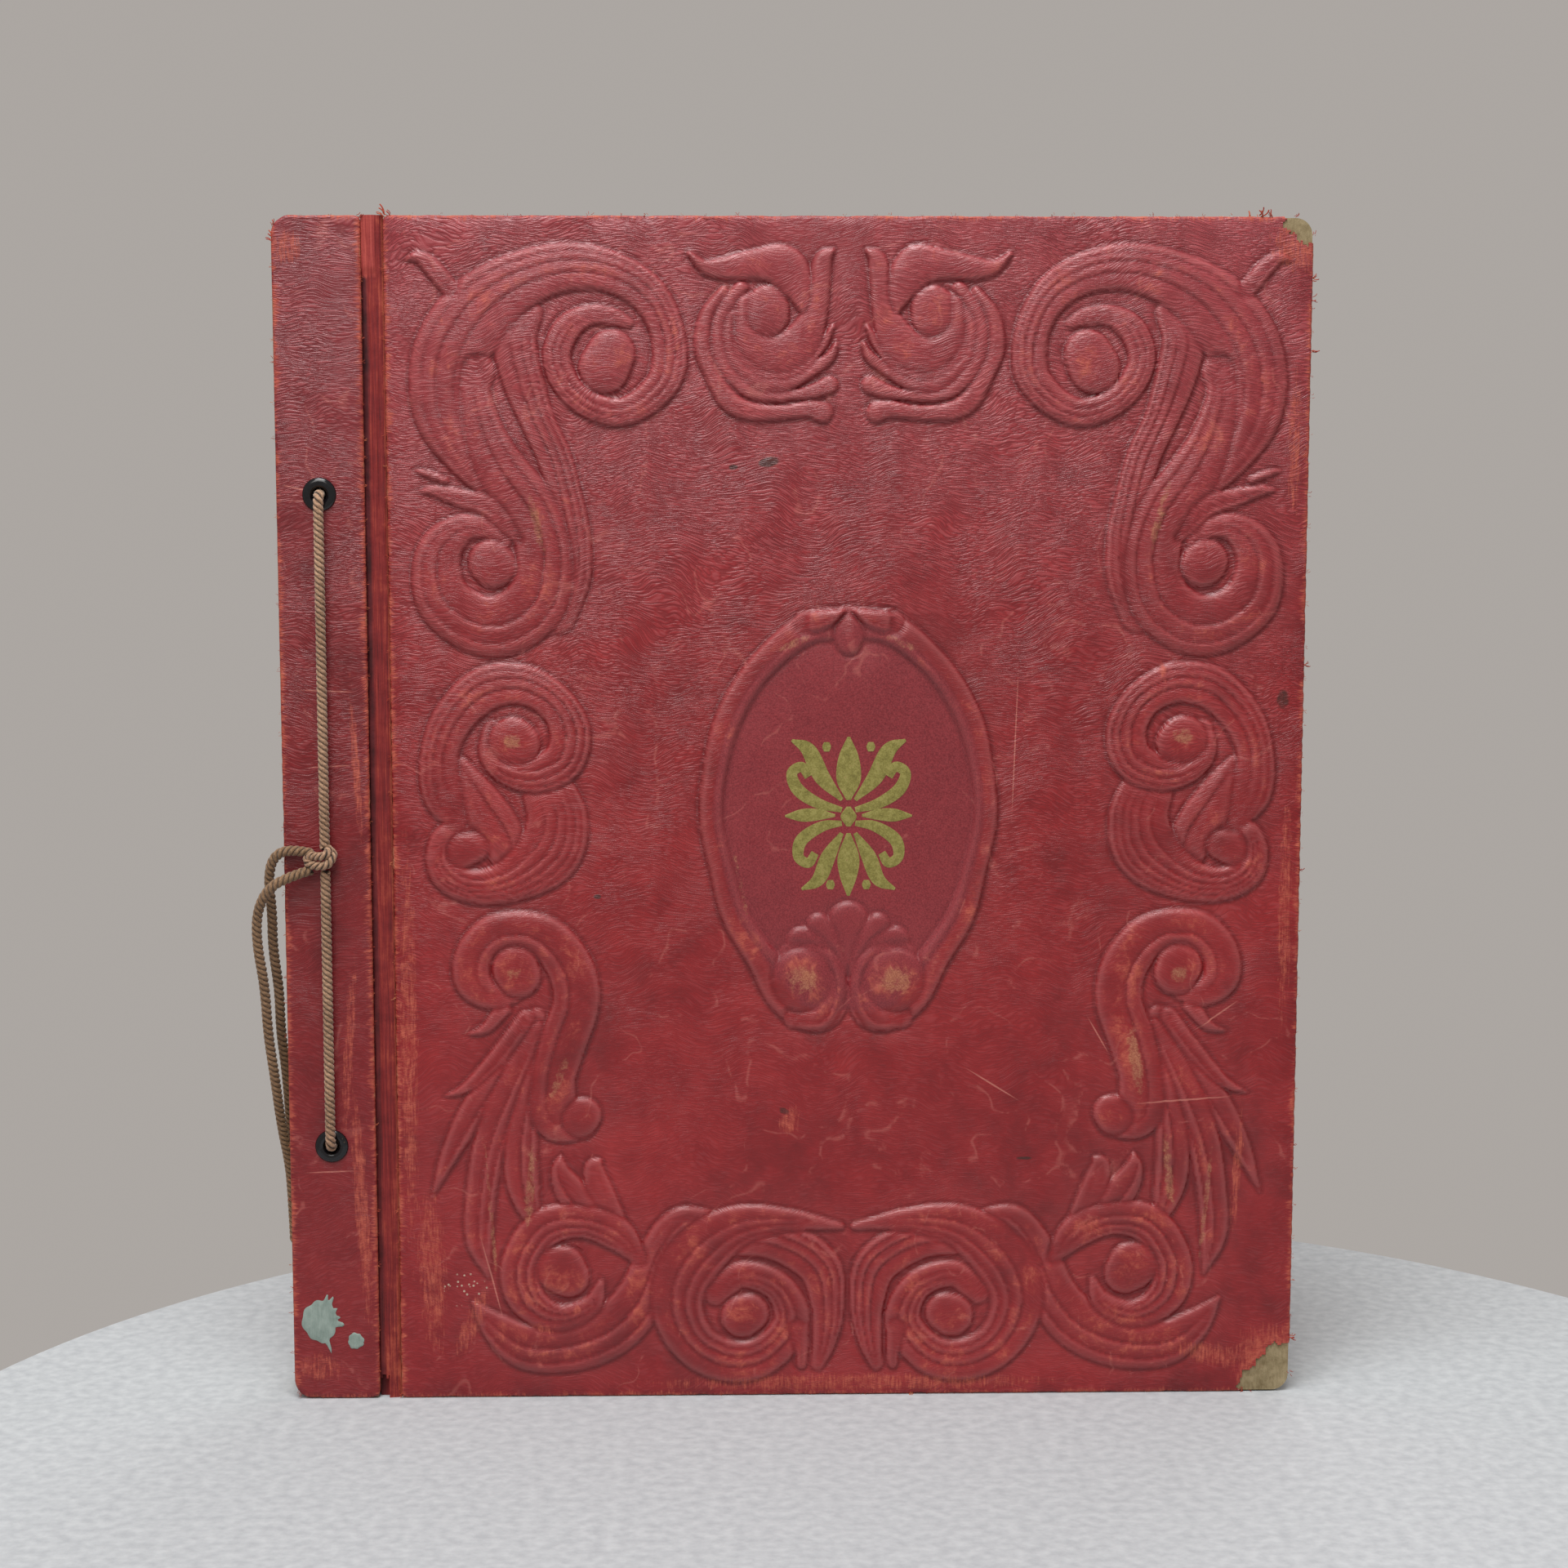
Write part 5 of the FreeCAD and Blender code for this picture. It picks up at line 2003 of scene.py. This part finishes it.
@dataclass
class Studio:
    """A round pale floor, soft lights and the camera."""

    camera_place: Point = (-23.6, -883.0, 297.1)
    down: float = 7.08
    turn: float = 1.35
    lens: float = 67.5
    floor_middle: tuple[float, float] = (28.0, -103.0)
    floor_radius: float = 302.0

    def camera(self) -> None:
        """Places the camera."""
        data = bpy.data.cameras.new("camera")
        data.lens = self.lens
        data.sensor_width = 36.0
        data.clip_start = 0.01
        made = bpy.data.objects.new("camera", data)
        made.location = [part * MM for part in self.camera_place]
        made.rotation_euler = (math.radians(90 - self.down), 0, math.radians(-self.turn))
        bpy.context.scene.collection.objects.link(made)
        bpy.context.scene.camera = made

    def light(self, name: str, place: Point, aim: Point, size: float, power: float, colour: Colour) -> None:
        """Adds one soft square lamp.

        Args:
            name: the lamp's name.
            place: where it stands, in metres.
            aim: what it points at.
            size: its side.
            power: in watts.
            colour: its colour.
        """
        data = bpy.data.lights.new(name, "AREA")
        data.size = size
        data.energy = power
        data.color = colour[:3]
        made = bpy.data.objects.new(name, data)
        made.location = place
        made.rotation_euler = (Vector(aim) - Vector(place)).to_track_quat("-Z", "Y").to_euler()
        bpy.context.scene.collection.objects.link(made)

    def floor(self) -> None:
        """Makes the floor: a pale round table top."""
        sides = 160
        turns = np.linspace(0, 2 * math.pi, sides, endpoint=False)
        rims = ((1.0, 0.0), (1.004, -1.0), (1.004, -14.0))
        points = [(self.floor_middle[0] + self.floor_radius * share * math.cos(turn),
                   self.floor_middle[1] + self.floor_radius * share * math.sin(turn), height)
                  for share, height in rims for turn in turns]
        faces = [tuple(range(sides))]
        faces += [(ring * sides + i, (ring + 1) * sides + i, (ring + 1) * sides + (i + 1) % sides,
                   ring * sides + (i + 1) % sides) for ring in range(2) for i in range(sides)]
        piece = mesh_object("floor", np.array(points) * MM, faces)
        bench = Bench("floor_cloth")
        grain = bench.noise(bench.place(), 260.0, 3.0)
        tone = bench.ramp(grain, (0.3, tint(168, 171, 174)), (0.7, tint(186, 189, 191)))
        piece.data.materials.append(bench.finish(tone, 0.9, bench.bump(grain, 0.0002)))

    def build(self) -> None:
        """Sets the world, the lamps and the floor."""
        world = bpy.data.worlds.new("studio")
        world.use_nodes = True
        back = world.node_tree.nodes["Background"]
        back.inputs["Color"].default_value = tint(192, 186, 181)
        back.inputs["Strength"].default_value = 0.78
        bpy.context.scene.world = world
        bpy.context.scene.view_settings.view_transform = "Standard"
        self.light("key", (-0.3, -1.25, 1.2), (0, 0, 0.2), 0.8, 9.0, (1.0, 0.98, 0.95, 1))
        self.light("top", (-0.15, -0.5, 1.45), (0, 0, 0.25), 0.7, 18.5, (0.96, 0.98, 1.0, 1))
        self.light("back", (0.6, 1.5, 1.0), (0, 0, 0.2), 1.0, 8.0, (1.0, 1.0, 1.0, 1))
        self.floor()


# ---------------------------------------------------------------- the album

ENAMEL = Enamel().make()
COVER_LOW, COVER_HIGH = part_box("front_cover_covering")
STRIP_LOW, STRIP_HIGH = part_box("front_strip_covering")
MIDDLE = (COVER_LOW.x + COVER_HIGH.x) / 2 / MM
LACE_HOLES = ((LACE_X, UPPER), (LACE_X, LOWER))

COVER_SCARS = (
    Scar(Mark.STAIN, -7.5, 284.5, 10, 4.5, -8),
    Scar(Mark.STAIN, -18.0, 283.0, 5, 3, 0, 0.8),
    Scar(Mark.RUB, -1.5, 86.0, 10, 15, 20),
    Scar(Mark.STAIN, -3.0, 89.0, 6, 4, 30, 0.7),
    Scar(Mark.RUB, -77.0, 22.0, 14, 4, 22),
    Scar(Mark.CREASE, 66.0, 201.0, 0.6, 62, 2),
    Scar(Mark.CREASE, 118.0, 92.0, 42, 0.9, -4),
    Scar(Mark.CREASE, 60.0, 97.0, 26, 0.8, 32),
    Scar(Mark.CREASE, 128.0, 118.0, 22, 0.8, -35),
    Scar(Mark.CREASE, 92.0, 112.0, 18, 0.7, 60),
    Scar(Mark.CREASE, -92.0, 38.0, 0.8, 36, -14),
    Scar(Mark.BALD, -92.0, 58.0, 2.6, 60, -4, 0.9),
    Scar(Mark.BALD, -80.0, 66.0, 5.0, 44, 4),
    Scar(Mark.BALD, 125.5, 60.0, 3.0, 52, 5, 0.9),
    Scar(Mark.BALD, 114.0, 70.0, 5.0, 36, -6),
    Scar(Mark.BALD, 103.5, 104.0, 6.0, 34, -10),
    Scar(Mark.BALD, -70.5, 101.0, 5.0, 24, 22, 0.9),
    Scar(Mark.BALD, 116.0, 131.0, 10.0, 9, 0),
    Scar(Mark.BALD, -84.0, 132.0, 8.0, 7, 0, 0.8),
    Scar(Mark.BALD, -84.0, 202.0, 9.0, 8, 30, 0.9),
    Scar(Mark.BALD, 116.0, 203.0, 9.0, 8, 20),
    Scar(Mark.BALD, 108.0, 268.0, 5.0, 34, 14, 0.9),
    Scar(Mark.BALD, -76.0, 266.0, 4.5, 34, -14, 0.9),
    Scar(Mark.BALD, 2.4, 129.5, 15.0, 14, 0),
    Scar(Mark.BALD, 30.6, 129.5, 15.0, 14, 0),
    Scar(Mark.BALD, -16.0, 158.0, 3.0, 34, -12, 0.8),
    Scar(Mark.BALD, 0.0, 231.0, 18.0, 4, -24, 0.85),
    Scar(Mark.BALD, 32.0, 231.0, 18.0, 4, 24, 0.85),
    Scar(Mark.RUB, 110.0, 222.0, 4, 12, -10),
    Scar(Mark.RUB, 135.0, 70.0, 5, 60, 3),
    Scar(Mark.RUB, 148.0, 150.0, 7, 110, 0),
    Scar(Mark.RUB, 148.0, 290.0, 7, 70, 0),
    Scar(Mark.RUB, -116.0, 110.0, 9, 200, 0),
    Scar(Mark.RUB, -110.0, 40.0, 14, 80, -2),
    Scar(Mark.RUB, -98.0, 24.0, 9, 40, 24),
    Scar(Mark.RUB, 128.0, 12.0, 44, 12, 12),
    Scar(Mark.RUB, 146.0, 10.0, 34, 34, 0, 1.3),
    Scar(Mark.RUB, 148.0, 348.0, 26, 26, 0, 1.1),
    Scar(Mark.RUB, 20.0, 4.0, 200, 9, 0),
    Scar(Mark.SPECK, -100.0, 34.0, 18, 14, 0),
    Scar(Mark.STAIN, 146.0, 214.0, 7, 10, 0, 0.75),
    Scar(Mark.STAIN, 70.0, 74.0, 8, 1.6, 0, 0.9),
    Scar(Mark.STAIN, -59.0, 155.0, 4, 2.5, 0, 0.8),
)

STRIP_SCARS = (
    Scar(Mark.CREASE, -139.0, 217.0, 24, 0.8, 2),
    Scar(Mark.CREASE, -138.0, 194.5, 20, 0.7, -3),
    Scar(Mark.CREASE, -140.0, 273.0, 24, 0.7, 1),
    Scar(Mark.CREASE, -147.0, 277.0, 10, 0.8, 12),
    Scar(Mark.CREASE, -141.0, 95.0, 0.6, 60, 3),
    Scar(Mark.CREASE, -140.0, 71.0, 22, 0.7, -2),
    Scar(Mark.RUB, -130.5, 195.0, 4, 70, -3, 1.1),
    Scar(Mark.RUB, -134.0, 110.0, 5, 90, 4),
    Scar(Mark.RUB, -131.0, 60.0, 7, 110, -3, 1.1),
    Scar(Mark.RUB, -145.0, 10.0, 22, 14, 10),
    Scar(Mark.RUB, -148.0, 347.0, 16, 16, 0),
)

STRIP_TUFTS = ((-152.0, 348.5, 2.6), (-151.5, 353.0, 1.6), (-127.0, 355.5, 1.5), (-151.0, 2.0, 1.4))
COVER_TUFTS = (
    (-119.6, 355.8, 2.8), (-117.5, 355.7, 1.8), (136.8, 355.8, 3.0), (139.5, 355.8, 2.0), (147.0, 355.6, 1.4),
    (152.2, 338.0, 2.8), (152.2, 332.0, 1.8), (152.2, 317.0, 2.0), (152.2, 224.0, 1.6), (152.2, 162.0, 1.8),
    (35.8, 1.0, 1.8), (-119.0, 1.0, 2.0), (152.2, 17.0, 2.4), (138.0, 1.0, 2.2), (-118.0, 20.0, 1.6))

COVER_TEARS = (
    Tear(154.0, -1.5, 17.0, 0.9, 0.6),
    Tear(152.0, 356.6, 8.5, 0.6, 2.0),
)


@dataclass
class Album:
    """The whole album, put together in the order that a binder would."""

    corner: float = 5.5
    square: float = 1.4

    def _leather(self, name: str, node: str, scars: tuple[Scar, ...], embossed: bool = False,
                 shade: float = 0.10) -> bpy.types.Material:
        """The leatherette of one board, worn along that board's own edges."""
        low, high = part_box(node)
        return Leatherette(name, low[:], high[:], scars, embossed, shade).make()

    def covers(self) -> list[bpy.types.Object]:
        """Builds the coverings of both covers.

        Returns:
            The two coverings.
        """
        low = (COVER_LOW.x / MM, COVER_LOW.z / MM)
        high = (COVER_HIGH.x / MM, COVER_HIGH.z / MM)
        relief = Relief(MIDDLE, low, high)
        front = Covering("front_cover_leather", "front_cover_covering", "front_cover", self.corner,
                         self.square, 0.6, 92000, tears=COVER_TEARS, seed=0.4).build(relief)
        dress(front, self._leather("leather_front", "front_cover_covering", COVER_SCARS, embossed=True))
        tears = (Tear(153.5, 0.0, 6.5, 0.7, 1.0), Tear(154.0, 357.0, 5.5, 0.5, 3.0))
        rear = Covering("rear_cover_leather", "rear_cover_covering", "rear_cover", self.corner,
                        self.square, 1.5, 30000, tears=tears, seed=2.2).build()
        scars = (Scar(Mark.RUB, 40.0, 60.0, 60, 5, 12), Scar(Mark.CREASE, -20.0, 240.0, 80, 1.0, -20),
                 Scar(Mark.RUB, 90.0, 180.0, 30, 24, 0, 0.8), Scar(Mark.STAIN, -40.0, 120.0, 20, 14, 10, 0.7),
                 Scar(Mark.CREASE, 80.0, 300.0, 50, 0.8, 40))
        dress(rear, self._leather("leather_rear", "rear_cover_covering", scars))
        return [front, rear]

    def strips(self) -> list[bpy.types.Object]:
        """Builds the coverings of both lacing strips.

        Returns:
            The two coverings.
        """
        made = []
        for side, seed in (("front", 1.1), ("rear", 3.7)):
            node = f"{side}_strip_covering"
            piece = Covering(f"{side}_strip_leather", node, "binding", self.square, self.corner, 1.0, 16000,
                             holes=LACE_HOLES, seed=seed, turn_in=10.0).build()
            scars = STRIP_SCARS if side == "front" else STRIP_SCARS[:3]
            material = self._leather(f"leather_{side}_strip", node, scars, shade=0.32)
            made.append(dress(piece, material))
        return made

    def hinges(self) -> list[bpy.types.Object]:
        """Builds the cloth of both grooves.

        Returns:
            Every piece of groove cloth.
        """
        made = []
        for side in ("front", "rear"):
            low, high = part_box(f"{side}_hinge_outer")
            material = GrooveCloth(f"leather_{side}_groove", low[:], high[:]).make()
            for piece in HingeCloth(side, f"{side}_cover").build():
                made.append(dress(piece, material))
        return made

    def frays(self) -> list[bpy.types.Object]:
        """Grows the loose threads of all four boards.

        Returns:
            One piece for each board.
        """
        tree = fray_tree(Fluff().make())
        boards = (("front_strip_fray", "front_strip_covering", "binding", STRIP_TUFTS),
                  ("front_cover_fray", "front_cover_covering", "front_cover", COVER_TUFTS),
                  ("rear_strip_fray", "rear_strip_covering", "binding", STRIP_TUFTS[:1]),
                  ("rear_cover_fray", "rear_cover_covering", "rear_cover", COVER_TUFTS[2:6]))
        return [Fray(*board).build(tree) for board in boards]

    def cad_finishes(self) -> None:
        """Gives the CAD nodes that stay in view their materials."""
        board = GreyBoard().make()
        end_paper = Paper("endpaper_cream", tint(196, 178, 142), tint(142, 112, 74),
                          0.004, 0.352, 0.149).make()
        guard = Paper("guard_paper", tint(178, 158, 120), tint(122, 96, 64), 0.0, 0.356, 0.2).make()
        leather = self._leather("leather_plain", "front_cover_covering", ())
        for name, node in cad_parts.items():
            if node.hide_render:
                continue
            if "board" in name:
                material = board
            elif "lining" in name:
                material = end_paper
            elif name in ("leaf_margins", "guard_strips"):
                material = guard
            else:
                material = leather
            node.data.materials.clear()
            node.data.materials.append(material)

    def build(self) -> None:
        """Builds every piece and reports it."""
        page = Paper("leaf_paper_buff", tint(206, 190, 154), tint(146, 116, 78), 0.003, 0.353, 0.1495).make()
        steps: tuple[Callable[[], list[bpy.types.Object]], ...] = (
            Lacing().build, self.covers, self.strips, self.hinges, Eyelets().build,
            lambda: Leaves().build(page),
            lambda: [GoldFleuron(MIDDLE, COVER_LOW.y / MM).build()],
            PaintSplash(STRIP_LOW.y / MM).build, self.frays)
        for step in steps:
            for piece in step():
                log.info("%s: %d faces", piece.name, len(piece.data.polygons))
        self.cad_finishes()


def main() -> None:
    """Builds the studio and the album."""
    logging.basicConfig(level=logging.INFO, format="%(name)s %(message)s")
    studio = Studio()
    studio.camera()
    Album().build()
    studio.build()


if __name__ == "__main__":
    main()
